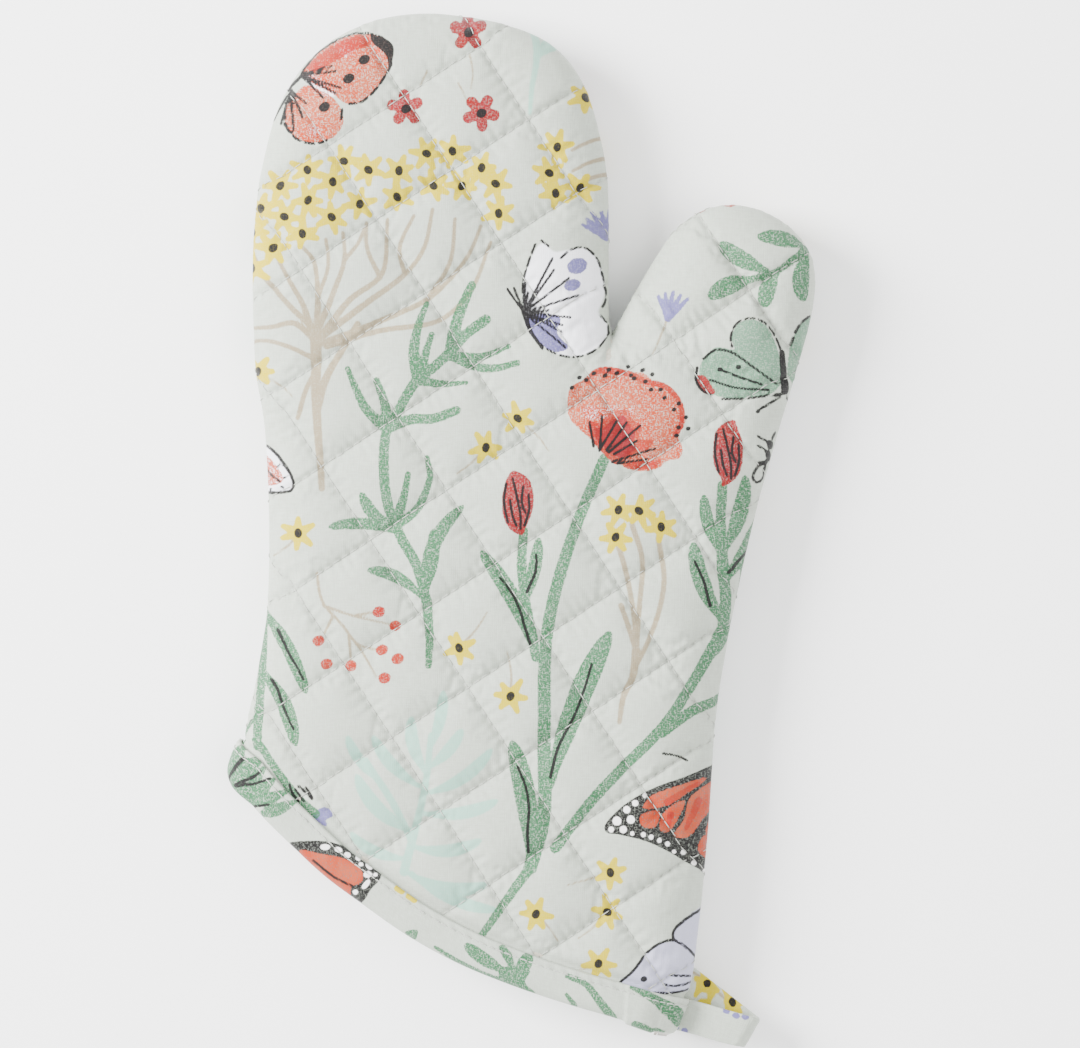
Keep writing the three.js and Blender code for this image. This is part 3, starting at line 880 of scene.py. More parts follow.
    # poppy
    stroke("green", [(25.4, 23), (19, 8), (13.2, -8), (9, -24), (7.2, -38), (7, -62), (6.8, -87),
                     (2.8, -102.6)], 3.4, 4.4)
    stroke("green", [(2.8, -102.6), (-4, -112), (-12.5, -124)], 3.2, 2.2)
    area("poppy", [(15, 45.2), (19.6, 47.8), (23.2, 50.6), (27.3, 51.6), (32.5, 50), (37.6, 49.6),
                   (40.7, 47), (45.8, 45.2), (48.9, 41.1), (50.5, 34.9), (48.4, 30), (49.6, 26.7),
                   (48.7, 23.4), (44.8, 22.4), (42.2, 20.3), (36.6, 19.4), (31.4, 20.8), (25.8, 24.6),
                   (20.6, 29.8), (15, 35.4), (14.2, 40.5)])
    stroke("flame", [(20.1, 47.3), (23.7, 50.2), (28.9, 50.2), (34, 49.1), (38.6, 46.8), (43.8, 45.5),
                     (47.4, 42.4), (49.2, 38.5), (49, 33.4), (47.4, 30.6)], 2.0, 1.6)
    area("pale", [(19.2, 38.4), (22, 39.4), (24.4, 38), (27.6, 39.6), (31, 38.4), (34.4, 38.8),
                  (34, 36.4), (29, 36.4), (24, 35.4), (20, 35.6)])
    area("flame", [(20.6, 34.6), (24, 34.2), (27.3, 37.2), (32.5, 38.3), (34.6, 35), (37, 33.6),
                   (36.6, 29.4), (40.6, 29), (39, 26.2), (35, 25), (29.4, 21.4), (25.3, 24.6),
                   (21.6, 29)])
    area("flame", [(31.4, 20.9), (36, 19.8), (41, 20.6), (43.6, 23.2), (39, 22.4), (34.4, 22.4)])
    area("red", [(22.4, 32.6), (25, 32.4), (28, 35), (31.6, 36.4), (33.4, 33.4), (35, 31.4), (34.4, 28),
                 (35.4, 26.6), (30.4, 23.6), (26, 26), (23, 29.4)])
    for root, tip in (((22.2, 27), (20.9, 34.4)), ((24, 25.7), (24.8, 36.5)),
                      ((24.2, 26.2), (29.4, 34.9)), ((26, 25.7), (32.5, 34.4)),
                      ((26.8, 25.2), (36.6, 33.4)), ((28.4, 24.6), (35.6, 28.8)),
                      ((27.8, 22.3), (41.2, 26.4)), ((29.4, 21.8), (38.9, 23.1))):
        stroke("black", [root, tip], 1.0, 0.6)
    for x, y in ((17.8, 48.2), (15.5, 45.1), (19.9, 47.4), (22.4, 49.5), (25.8, 48.8), (26.9, 50.6),
                 (29.4, 49.6), (32.9, 51.6), (33.8, 48.9), (34.8, 47.9), (37.4, 50.5), (40.3, 49.1),
                 (38.2, 46.9), (39.9, 44.4), (42.8, 44.4), (44, 41.9), (48.4, 40.2), (46.9, 38.3),
                 (50.6, 36), (48.3, 32.9), (51.4, 32.5), (47.8, 30.4)):
        dot("black", x, y, 0.8 + 0.2 * rng.random(), 0.68, 20)
    # tulip buds on their stalks
    for x, y, lean, tall in ((-1.1, 9.6, 3, 19.5), (63.7, 25, -4, 20.5)):
        top, foot = (x - lean / 2, y + tall / 2), (x + lean / 2, y - tall / 2)
        area("red", [top, (x - 3.4, y + 7.4), (x - 4.7, y + 2), (x - 4.4, y - 4), (x - 2, y - 8.4), foot,
                     (x + 2.4, y - 7.6), (x + 4.5, y - 2), (x + 4.7, y + 3), (x + 3, y + 7.6)])
        stroke("black", [(x - 3.6, y + 6), (x - 4.2, y), (x - 3, y - 6)], 0.85, 0.7)
        stroke("black", [(x - 2.4, y + 1), (x - 1.6, y - 4), (x - 0.4, y - 7)], 0.8, 0.7)
        stroke("black", [(x - 1.6, y + 7.4), (x - 0.2, y + 1.4), (x + 0.8, y - 4), (x + 0.8, y - 8)],
               0.85, 0.8)
        stroke("black", [(x + 1.6, y + 5), (x + 1.2, y), (x + 2.4, y - 3)], 0.7)
        stroke("black", [(x + 3.2, y + 2.6), (x + 3.4, y - 2), (x + 2, y - 7)], 0.8, 0.7)
    stroke("green", [(0.6, 1), (0.2, -10), (1.2, -20), (4.6, -38)], 2.9, 3.2)
    leaf((4.6, -38), (-12.8, -5), 5.2, -2.0, vein=(0.12, 0.72))
    leaf((0.8, -22), (5.4, -1), 4.0, -0.8, vein=(0.2, 0.75))
    stroke("green", [(61.8, 15), (61.4, 0), (61.8, -26.4), (56, -39.7), (45.4, -57), (23.1, -80.3),
                     (10.4, -96.7)], 3.2, 3.4)
    stroke("green", [(62, -50), (52, -55), (43.2, -61.1)], 3.0, 3.4)
    leaf((61.2, -6), (56, 12.3), 4.0, 1.0)
    leaf((61.8, -6), (69, 18.4), 4.2, -1.4)
    leaf((61.6, -27), (52.8, -2.6), 5.4, 1.6, vein=(0.22, 0.78))
    leaf((62, -14), (74.6, 8), 5.2, -1.2, vein=(0.1, 0.9))
    stroke("green", [(59, -36), (65.5, -26), (68, -8)], 2.8, 1.6)
    leaf((8.6, -78), (27.4, -29.8), 7.2, 1.6, vein=(0.06, 0.78))
    leaf((2.6, -101), (-3, -63.4), 6.6, -1.6, vein=(0.08, 0.78))
    stroke("black", [(43.5, -67.5), (48.5, -68.6), (51, -70)], 0.9, 0.6)
    # single yellow flowers on thin stems
    for x, y, turn, long, heading in ((-80.8, 50.5, 0, 13, -38), (-68.7, 0.3, 20, 10, 225),
                                      (-1.1, 35.7, 40, 14, -46), (-11, 26.7, 10, 12, 222),
                                      (-19.1, -35, 30, 14, 52), (-3.3, -49.9, 0, 14, 95),
                                      (27.4, -104.2, 20, 14, 196), (4.5, -116.9, 0, 11, -52),
                                      (26.5, -116.6, 45, 12, 222), (23.7, -132.4, 10, 6, 200)):
        tuck(x, y, long, heading)
        yellow(x, y, turn)
    for points in ([(29, -1), (31.8, -10), (34.5, -24), (35.2, -37)],
                   [(34, 3), (37.2, -8), (36.4, -22), (35.2, -37)],
                   [(42, -1), (43.9, -14), (41, -28), (34.5, -42)],
                   [(30.6, -22), (33, -29), (35, -36)]):
        stroke("tan", points, 1.7, 1.5)
    stroke("tan", [(35.2, -36), (34.2, -44), (31.5, -50), (30.2, -58)], 2.8, 1.4)
    for x, y, turn in ((29.9, 7.4, 10), (36.1, 7.1, 40), (42.9, 2.2, 20), (29, -0.9, 0)):
        yellow(x, y, turn)
    # berries
    for points in ([(-63.1, -12), (-61, -21), (-55, -28), (-48, -38), (-44.5, -44)],
                   [(-60.8, -22), (-52, -25), (-40, -27.8)], [(-55, -28), (-50, -34), (-43, -36)],
                   [(-58, -25.5), (-61, -31)], [(-53, -31), (-52.5, -40)], [(-51, -25), (-45.5, -24)]):
        stroke("tan", points, 1.0, 0.7)
    for x, y in ((-43.9, -23.9), (-38.9, -28.2), (-62.5, -32.9), (-42.9, -35.7), (-38, -38.4), (-60, -40),
                 (-52.5, -40.6), (-42, -44.3)):
        dot("flame", x, y, 1.95, 1.7, 20)
    # mint foliage low on the left
    stroke("mint", [(-36, -104), (-32, -88), (-29, -74), (-27.7, -62)], 2.8, 1.8)
    stroke("mint", [(-48, -70), (-40, -82), (-34, -94)], 2.2)
    for base, tip, wide, bend in (((-29, -74), (-34, -56), 4.2, 1.6),
                                  ((-28.6, -72), (-18, -60), 3.8, -1.0),
                                  ((-30, -80), (-9, -66), 4.0, -2.4),
                                  ((-31, -86), (-7, -82), 4.0, -2.0), ((-33, -92), (-51, -74), 4.6, 2.6),
                                  ((-34, -96), (-12, -94), 4.0, -2.6),
                                  ((-35, -100), (-53, -92), 3.8, 2.2), ((-31, -78), (-46, -62), 4.0, 1.8),
                                  ((-35, -104), (-10, -108), 4.6, -3.2),
                                  ((-28, -66), (-24, -48), 3.8, -1.0),
                                  ((-44, -76), (-53.8, -62), 3.4, 1.2),
                                  ((-34, -104), (-7, -116), 3.8, -2.6)):
        leaf(base, tip, wide, bend, "mint")
    # leaves at the left edge and the fan in the cuff's corner
    stroke("green", [(-79.2, -24), (-79.5, -44), (-80.4, -55), (-81.2, -66)], 3.0, 2.4)
    stroke("green", [(-81.4, -64), (-77.2, -70.6), (-72.6, -77), (-68.8, -81.9), (-63.6, -86.4)], 2.4,
           3.0)
    stroke("green", [(-81.6, -57), (-84.8, -61.6), (-86.6, -66.3), (-88, -71)], 1.3, 1.6)
    leaf((-80, -22), (-66.2, -49.5), 4.4, 1.4, vein=(0.3, 0.85))
    leaf((-79.4, -42), (-69.4, -65.5), 5.0, 1.6, vein=(0.15, 0.8))
    for points in ([(-71.6, -77.2), (-70.8, -80), (-68.6, -82.6)], [(-69.8, -78.8), (-66.8, -82.8)],
                   [(-68.8, -77.6), (-64.4, -81.9)], [(-66.6, -78.2), (-64.6, -81)]):
        stroke("black", points, 0.9, 0.7)
    area("lilac", [(-64.4, -87), (-61.5, -84.4), (-59, -85), (-58.3, -87), (-60.2, -88.2), (-60, -90.3),
                   (-62, -89.4)])
    # wing tip at the left edge
    area("pale", [(-79.5, 28), (-76.6, 26.4), (-73.4, 22), (-70.6, 16.6), (-71, 13.8), (-75, 13.2),
                  (-80, 13.6), (-82, 20)])
    area("poppy", [(-81, 24.8), (-77.6, 24.2), (-74.2, 20), (-73, 16.6), (-75.6, 15.2), (-80, 16)])
    stroke("black", [(-80, 28.2), (-76.6, 26.6), (-73.2, 22.2), (-70.4, 16.4), (-71, 13.6), (-75, 12.8),
                     (-80, 13.4)], 1.0, 1.0)
    stroke("black", [(-80, 22), (-76.4, 18.4), (-74, 16.4)], 0.8, 0.5)
    for x, y in ((-72.6, 17.6), (-74.4, 21), (-73.4, 14.6), (-76.4, 14)):
        dot("black", x, y, 0.55)
    # large spotted wing at the right edge
    area("dark", [(25.6, -90), (31, -84), (40, -78.6), (50, -75), (61, -71.6), (60, -90), (58.8, -107),
                  (53.6, -103.6), (46, -98.4), (38, -94.6), (30, -92.6), (26, -91.8)])
    for cell in ([(37.4, -84.4), (40, -80.8), (49, -77.4), (56.5, -75.4), (50, -80.6), (43, -84.2)],
                 [(36.4, -87), (38, -86), (42.6, -85.6), (41, -90.4), (37, -90)],
                 [(44.2, -85.6), (50.2, -82.2), (47.8, -88.6), (45, -92), (42.6, -91.2)],
                 [(52, -81), (60, -76.4), (60, -82), (55, -88.4), (50.6, -93.8), (47, -93), (50, -88)],
                 [(60, -85), (60, -93), (56, -92.6), (57.4, -88.6)],
                 [(55.4, -93.4), (59.6, -94.8), (59.4, -102.6), (56.6, -101), (53.6, -97.6)]):
        area("poppy", cell)
    for points in ([(45, -82.6), (54, -77)], [(46, -86.6), (45.4, -90)], [(54, -82.4), (50.6, -91)],
                   [(57.6, -95.4), (57, -100)]):
        stroke("flame", points, 2.2, 1.2)
    for x, y, r in ((29.4, -88.4, 1.35), (33.6, -88, 1.25), (31.3, -91, 1.1), (27.6, -91, 0.9),
                    (32.4, -85, 1.1), (35, -83, 1.0), (34, -92.2, 0.7), (37.4, -92.6, 0.8),
                    (39.8, -93.4, 0.8), (42.4, -94.4, 0.8), (45, -95.6, 0.8), (38, -80.6, 0.8),
                    (47, -98, 0.7), (50, -98.4, 0.8), (52.6, -101.8, 0.8), (56, -104.6, 0.7)):
        dot("white", x, y, r)
    # pale butterfly at the bottom right
    area("mist", [(30.4, -138.4), (34.2, -134.8), (37.7, -130.4), (42.6, -126.4), (46.8, -125.4),
                  (46.8, -122.8), (50.2, -118.7), (56, -115.6), (56, -142), (50.6, -141.6), (45, -142.2),
                  (40, -141.8), (34, -140)])
    stroke("black", [(30.4, -138.4), (34.2, -134.8), (37.7, -130.4)], 0.95)
    stroke("black", [(38.6, -129.2), (42.6, -126.2), (47, -125.5), (53.5, -131.5)], 0.9)
    stroke("black", [(46.9, -125.4), (46.6, -123.1), (50.2, -119), (56, -115.6)], 0.95)
    dot("black", 37.7, -137.3, 1.1, 1.0)
    for points in ([(46, -136.4), (51.1, -136.8)], [(44, -139.2), (46.6, -139.7), (51.5, -138.8)],
                   [(41, -141.7), (46, -142), (50.8, -141)]):
        stroke("black", points, 0.85, 0.7)
    # thumb
    stroke("green", [(94, 92), (86, 86.5), (77.5, 80.4), (70, 78.5)], 2.4, 2.0)
    leaf((76, 81), (61, 89.8), 5.2, 0.8)
    leaf((88, 88), (72.6, 91.8), 4.4, -0.8)
    leaf((72, 78.8), (57.6, 73), 5.6, -1.0)
    leaf((79, 81), (74.6, 70), 5.2, -0.8)
    leaf((87.6, 87), (86.2, 72), 4.6, -1.2)
    stroke("green", [(78, 99.5), (86, 94.5), (93, 88)], 1.6, 1.4)
    dot("flame", 64.6, 101.6, 2.0, 1.6)
    dot("flame", 56.4, 99.6, 1.2, 0.8)
    tassel(45.4, 66.6, 78)
    stroke("tan", [(45, 66), (42.5, 60), (40.5, 55.5)], 0.8, 0.5)
    area("sage", [(79.8, 48), (79, 56), (76, 63.5), (71, 66), (66.5, 64.5), (64.6, 60.6), (65.4, 57),
                  (60, 57.5), (56, 53.8), (54.8, 49.4), (57, 44.2), (63, 42), (70, 42), (77, 43.6)])
    area("sage", [(81.6, 49), (82.4, 58), (84.8, 64.4), (88, 67.4), (92, 68), (94, 50), (86, 45)])
    area("red", [(54, 49), (56.6, 48.7), (58.5, 46), (59.8, 43.4), (56.5, 43.4), (54.6, 45.5)])
    stroke("black", [(80, 56.5), (80.2, 51), (80.7, 44.6)], 1.4, 2.4)
    dash("black", [(79.6, 57.5), (78.4, 61), (75.6, 64.6), (71, 66.4), (66.4, 64.9), (64.4, 60.8),
                   (64.8, 57.6)], 0.8)
    stroke("black", [(78.7, 46.5), (70, 52.6), (65, 55.9), (60, 56.8), (56, 54)], 0.85)
    stroke("black", [(54.3, 51.4), (53.8, 47.4), (55.4, 44.6), (58.6, 42.9)], 0.95, 0.9)
    dash("black", [(61.8, 41.7), (71, 42), (79.8, 43.7)], 0.85, 7)
    dash("black", [(82.4, 58.4), (84.4, 63.8), (87.6, 67.4), (92, 68.4)], 0.8)
    stroke("black", [(76.4, 44.6), (65.9, 45.2), (58.2, 47.5)], 0.8, 0.7)
    stroke("black", [(74.4, 46.2), (68, 48.2), (61.3, 50.8)], 0.8, 0.7)
    for x, y in ((61.3, 50.8), (66.9, 51.6)):
        dot("black", x, y, 0.95, 0.75)
    stroke("black", [(79.3, 42.9), (72.9, 38)], 0.8, 0.7)
    dot("black", 72.8, 37.9, 0.7)
    stroke("black", [(81.3, 42.6), (82.8, 40.6)], 0.8, 0.6)
    dot("black", 76, 28, 1.1, 1.5, 10)
    dot("black", 75.4, 24.6, 1.0, 1.9, 10)
    for a, b in (((75, 29), (72.6, 30.4)), ((76.6, 29.8), (77.6, 31.8)), ((74.8, 26), (72.6, 27.6)),
                 ((74.8, 23), (72.4, 22.4))):
        stroke("black", [a, b], 0.55, 0.4)
    stroke("black", [(74.8, 22.6), (72, 20.6), (70.8, 17.6), (71.8, 16.2), (73.8, 17.8), (74.4, 21.6)],
           0.5)


def draw_binding():
    global page
    page = binding_art
    # a fan of leaves, a wing, leaf sprays and a few petals cut off by the strip's edges
    for base, tip, wide in (((-80.6, -69.6), (-89.8, -77), 5.4), ((-79.4, -72), (-87.6, -80.2), 5.0),
                            ((-76.2, -75.6), (-86, -82), 4.6),
                            ((-71.4, -78.8), (-84.4, -83.4), 3.8), ((-69.2, -82.2), (-80.6, -86.4), 4.0),
                            ((-83, -66), (-89.6, -74), 4.0)):
        leaf(base, tip, wide, 0.5)
    for a, b in (((-83.6, -70.2), (-88.6, -77.8)), ((-80.5, -73.2), (-85.9, -78)),
                 ((-77.5, -75.4), (-86, -78.4)), ((-78.1, -83.5), (-83.6, -84.3))):
        stroke("black", [a, b], 0.95, 0.8)
    area("dark", [(-72, -95.6), (-66, -94.6), (-59, -94.9), (-53, -97), (-47, -101.2), (-43.2, -105.2),
                  (-46.4, -109.6), (-50, -114), (-60, -107), (-68, -99)])
    area("poppy", [(-68.5, -97.6), (-61.8, -98.6), (-55.3, -99.8), (-50.9, -101.9), (-48.8, -104.8),
                   (-49.6, -107.6), (-52.4, -108.6), (-53, -111.5), (-60, -107), (-68, -100)])
    stroke("black", [(-64.4, -100.6), (-57.5, -105.9), (-52.2, -108.5)], 0.85)
    for x, y, rx, ry, turn in ((-60.5, -96.5, 1.6, 0.9, 0), (-56.4, -97.3, 1.2, 0.8, -20),
                               (-53.6, -98.9, 1.1, 0.8, -30), (-50.4, -100, 0.9, 0.6, -40),
                               (-49.4, -101.8, 0.8, 0.6, 0), (-47, -102.4, 1.2, 0.7, -45),
                               (-47.4, -104.9, 1.3, 1.0, 0), (-47.9, -108, 1.8, 0.8, 50),
                               (-51.2, -110.4, 0.9, 0.8, 0), (-45, -105, 0.7, 0.6, 0)):
        dot("white", x, y, rx, ry, turn)
    stroke("yellow", [(-38.4, -109.2), (-36.8, -110.2)], 1.8)
    stroke("yellow", [(-34.8, -111.6), (-33, -112.8)], 1.9)
    area("green", [(-35.9, -122.8), (-32, -122), (-32.6, -125), (-35, -125)])
    stroke("green", [(-26.6, -127.4), (-20, -131.4), (-13.3, -134.9), (-7, -137.6)], 1.2, 1.8)
    leaf((-4.4, -135), (-17.6, -126.2), 4.2, 0.6)
    leaf((-2.4, -134.6), (-6.6, -126.6), 2.8, -0.5)
    leaf((-1.6, -137), (2.8, -129.2), 4.6, 0.0)
    area("green", [(-6.6, -134), (-2.6, -133.1), (-0.7, -133.9), (2.7, -134.7), (1.1, -138.1),
                   (4.3, -141.6), (-2.6, -140), (-6.6, -138)])
    stroke("green", [(14.2, -136.2), (19.9, -138.8), (23.5, -143.3), (28.4, -149.6)], 1.6, 3.0)
    stroke("green", [(13.9, -142), (16.4, -145.3)], 1.2, 1.8)
    stroke("green", [(34.2, -139.7), (39.5, -142.4), (44.4, -145.3), (48.6, -150.6)], 1.6, 4.0)
    stroke("green", [(36, -150.4), (40.4, -151.7), (44.9, -154.2)], 2.4, 2.0)
    page = loop_art
    # here x runs along the strap and y across it
    for x, y, turn in ((10.5, 3.4, 10), (20.5, 3.8, 40), (2.5, -2.5, 20), (14, -5, 0)):
        yellow(x, y, turn, 4.6)
    stroke("tan", [(0, 3), (9, 4), (20, 3)], 0.9)
    for x, y in ((37.5, 4.6), (40, 4.2), (43, 4.8), (54, -4.6), (57, -4.2), (60, -4.6)):
        dot("lilac", x, y, 1.1, 0.9)
    page = front_art


FAR = -3.0                                   # what a point that no shape comes near is given


def print_fields(art, xy):
    """For each ink, how far inside its shapes each point is, in millimetres; below zero outside."""
    fields = {ink: np.full(len(xy), FAR) for ink in INKS}
    for ink, line, half in art:
        pad = 1.2 + (0 if half is None else half.max())
        k = np.nonzero((xy > line.min(0) - pad).all(1) & (xy < line.max(0) + pad).all(1))[0]
        if not len(k):
            continue
        dist, _ = nearest(xy[k], line)
        if half is None:
            value = np.where(is_inside(xy[k], line[:-1]), dist, -dist)
        else:
            spot = ((xy[k][:, None] - line) ** 2).sum(2).argmin(1)
            value = half[spot] - dist
        fields[ink][k] = np.maximum(fields[ink][k], value)
    return fields


def store(obj, name, values, kind="FLOAT"):
    """Keeps values on a mesh's points, for the materials to read."""
    attribute = obj.data.attributes.new(name, kind, "POINT")
    attribute.data.foreach_set("vector" if kind == "FLOAT_VECTOR" else "value",
                               np.asarray(values, np.float32).ravel())


def print_on(obj, art, xy, hidden=0, cloth=None):
    """Puts the pattern on a piece's first vertices; the rest stay plain."""
    fields = print_fields(art, xy)
    for ink in INKS:
        store(obj, "ink_" + ink, np.concatenate([fields[ink], np.full(hidden, FAR)]))
    flat = np.column_stack([xy if cloth is None else cloth, np.zeros(len(xy))])
    total = np.vstack([flat, np.zeros((hidden, 3))])
    if hidden:
        co = np.zeros(len(obj.data.vertices) * 3)
        obj.data.vertices.foreach_get("co", co)
        total[len(xy):] = co.reshape(-1, 3)[len(xy):] * 1000
    store(obj, "cloth", total, "FLOAT_VECTOR")


draw_front()
draw_binding()


# ---------------------------------------------------------------- the binding round the mouth
# the strip's section: how far above the cuff's edge, and how far out of the cloth
BIND_ROWS = [(10.4, 0.0), (10.6, 0.7), (10.3, 1.3), (9.6, 1.6), (8.9, 1.2), (8.4, 1.4), (7.9, 1.6),
             (7, 1.6), (6, 1.6), (5, 1.6), (4, 1.6), (3, 1.6), (2.1, 1.5), (1.3, 1.3), (0.7, 1.0),
             (0.15, 0.55), (-0.25, 0.0), (-0.5, -0.8), (-0.55, -1.8), (-0.55, -3.2), (-0.5, -4.4),
             (-0.3, -5.3), (0.3, -6.0), (1.2, -6.3), (4, -6.35), (8, -6.35), (10, -6.2), (10.3, -5.8),
             (10, -5.5), (6, -5.45), (1, -5.4), (0.2, -4.6), (0.2, -0.4), (1, 0.1), (6, 0.1)]
LAP = (32.5, 44.5)                            # from where to where the strip's end lies over its start
LAP_RISE, LAP_DROP = 0.45, 0.9
# above the cuff's edge: the strip's upper edge, and where it turns in
STRIP_TOP, TURN_IN = 10.4, -0.2
INSIDE_PRINT = -4.0                           # how far past the turn the drawing of the print goes
RIPPLE, RIPPLE_AT, RIPPLE_R = 0.16, 9.2, 1.5
SWELL = 0.3
POINT_GAP = 0.62                              # between two points along the strip
TOPSTITCH_LIFT, TOPSTITCH_PITCH, TOPSTITCH_LENGTH, TOPSTITCH_R = 0.1, 2.7, 2.6, 0.19
STITCH_ROW = 5                                # the row of the strip that holds its stitches


def mouth_row(w, count):
    """A line across the mitt, w above the cuff's edge, from side seam to side seam."""
    step = np.gradient(CUFF_LINE, axis=0)
    normal = np.stack([-step[:, 1], step[:, 0]], 1)
    normal /= np.linalg.norm(normal, axis=1, keepdims=True)
    line = CUFF_LINE + normal * w
    ends = []
    for side in (left_side, right_side):
        dist = np.array([((side - p) ** 2).sum(1).min() for p in line])
        ends.append(int(dist.argmin()))
    i, j = sorted(ends)
    a = left_side[((left_side - line[i]) ** 2).sum(1).argmin()]
    b = right_side[((right_side - line[j]) ** 2).sum(1).argmin()]
    return resample(np.vstack([a, line[i + 1:j], b]), count)


def resample(line, count):
    """The same polyline as so many even points."""
    along = np.concatenate([[0], np.cumsum(np.linalg.norm(np.diff(line, axis=0), axis=1))])
    s = np.linspace(0, along[-1], count)
    return np.stack([np.interp(s, along, line[:, k]) for k in range(line.shape[1])], 1)


def binding_grid(count=330):
    """Rows of points round the mouth, one for each step of the strip's section.

    Also where each point lies in the drawing of the print, and where it lies on the strip.
    """
    section = resample(np.array(BIND_ROWS), 2 * len(BIND_ROWS))
    arc = np.concatenate([[0], np.cumsum(np.linalg.norm(np.diff(section, axis=0), axis=1))])
    turned = arc[(section[:, 0] < TURN_IN).argmax()]
    rows, prints, strip = [], [], []
    for (w, depth), travel in zip(section, arc):
        plan = mouth_row(w, count)
        flat_w = w if travel < turned else TURN_IN - (travel - turned)
        if flat_w <= INSIDE_PRINT:            # the drawing is mirrored there
            flat_w = max(2 * INSIDE_PRINT - flat_w, INSIDE_PRINT)
        flat_row = mouth_row(min(flat_w, STRIP_TOP), count)
        ring = []
        for side in ("front", "back"):
            xy = plan if side == "front" else plan[::-1][1:-1]
            lap = smoothstep(xy[:, 0], LAP[0] - 0.4, LAP[0] + 0.4) * (1 - smoothstep(xy[:, 0], LAP[1] - 2,
                    LAP[1]))
            lap = lap * (side == "front")
            place, normal, _, _ = base_surface(side, xy)
            wave = np.sin(xy[:, 0] * 1.9 + xy[:, 1] * 1.1 + 2 * wander(xy, 14, 5))
            ripple = RIPPLE * wave * math.exp(-((w - RIPPLE_AT) / RIPPLE_R) ** 2)
            swell = SWELL * wander(xy, 9, 6 if side == "front" else 9) * (1 if depth > 0.3 else 0)
            raised = depth + (swell + ripple) * (0 < w < 10) + LAP_RISE * lap * (depth > 0)
            out = place + normal * raised[:, None]
            if side == "front":
                out[:, 1] -= LAP_DROP * lap * (w < 3)
            else:
                out[:, 2] = np.maximum(out[:, 2], ORIGIN[2] + 0.02)
            ring.append(out)
        rows.append(np.vstack(ring))
        prints.append(np.vstack([flat_row, flat_row[::-1][1:-1]]))
        run = np.arange(2 * count - 2) * POINT_GAP
        strip.append(np.column_stack([run, np.full(len(run), travel)]))
    return np.stack(rows), np.stack(prints), np.stack(strip)


def grid_faces(rows, cols):
    """Quads over a grid that closes on itself both ways."""
    across = [(r * cols, (r + 1) % rows * cols) for r in range(rows)]
    return [(a + c, a + (c + 1) % cols, b + (c + 1) % cols, b + c) for a,
            b in across for c in range(cols)]


def make_binding():
    """The binding, and the thread that is stitched through it."""
    grid, prints, strip = binding_grid()
    rows, cols = grid.shape[:2]
    obj = new_object("mouth_binding", grid.reshape(-1, 3), flip(grid_faces(rows, cols)))
    print_on(obj, binding_art, prints.reshape(-1, 2), 0, strip.reshape(-1, 2))
    top, under = STITCH_ROW, len(grid) * 30 // 35      # the second is the row inside the mitt, below it
    up = grid[top] - grid[under]
    up /= np.linalg.norm(up, axis=1, keepdims=True)
    path = np.vstack([grid[top], grid[top][:1]])
    ups = np.vstack([up, up[:1]])
    stitches = row_stitches(path + ups * TOPSTITCH_LIFT, ups, TOPSTITCH_PITCH)
    thread = capsules("mouth_topstitching", *stitches, TOPSTITCH_LENGTH, TOPSTITCH_R, 0.2)
    return obj, thread


# ---------------------------------------------------------------- the hanging loop
# stations of the strap: its middle, the direction of its width, and how far it has turned over in degrees
LOOP = [(47.5, -136.6, 9.2, .59, .81, 0), (50.5, -138.9, 8.9, .59, .81, 0),
        (55.5, -142.8, 8.0, .58, .82, 0), (61, -147.1, 7.3, .57, .83, 0),
        (66.5, -151.4, 7.3, .54, .85, 0), (70, -154.1, 8.3, .5, .87, -55),
        (71.2, -155, 10.6, .49, .87, -90), (70, -154.6, 12.9, .46, .88, -125),
        (66.5, -153.8, 14.0, .4, .92, -172), (61, -152.3, 13.8, .28, .96, -180),
        (55.5, -150.8, 12.6, .23, .97, -180), (50.5, -149.6, 11.3, .21, .98, -180),
        (47.5, -148.9, 10.8, .21, .98, -180), (45.6, -148.5, 10.6, .21, .98, -180)]
STRAP_W, STRAP_T, STRAP_SIDES = 10.2, 1.5, 36
HEM_AT, HEM_R, HEM = 4.1, 0.5, 0.12           # the ridge along each side of the strap


def make_loop():
    """The strap, a flat tube with rounded sides."""
    line = spline(LOOP, 0.5)
    cols = []
    for a in np.linspace(0, 2 * math.pi, STRAP_SIDES, endpoint=False):
        c, s = math.cos(a), math.sin(a)
        across = math.copysign(abs(c) ** 0.28, c) * STRAP_W / 2
        cols.append((across, math.copysign(abs(s) ** 0.5, s) * STRAP_T / 2))
    verts, flat = [], []
    along = np.concatenate([[0], np.cumsum(np.linalg.norm(np.diff(line[:, :3], axis=0), axis=1))])
    for n, (x, y, z, sx, sy, tilt) in enumerate(line):
        side = np.array([sx, sy, 0]) / math.hypot(sx, sy)
        t = math.radians(tilt)
        up = np.array([0, 0, 1.0])
        face = up * math.cos(t) + np.cross(side, up) * math.sin(t)
        for a, b in cols:
            hem = HEM * math.exp(-((abs(a) - HEM_AT) / HEM_R) ** 2)
            ridge = 0.1 * math.sin(n * 0.11 + a * 0.6) + hem
            verts.append(np.array([x, y, z]) + side * a + face * (b + math.copysign(ridge, b)))
            flat.append((along[n], a))
    m, n = len(line), len(cols)
    obj = new_object("loop_strap", np.array(verts), tube_faces(m, n) + tube_caps(m, n))
    print_on(obj, loop_art, np.array(flat))
    return obj


# ---------------------------------------------------------------- materials
def linear(r, g, b):
    """A colour given in 0-255 as the shaders take it."""
    return tuple((c / 255 / 12.92 if c <= 10 else ((c / 255 + 0.055) / 1.055) ** 2.4) for c in (r, g, b))


# how strongly everything is lit; colours are mixed darker by as much
LIGHT = 1.8
WHITE = 245                                   # what the ink's light strokes run towards


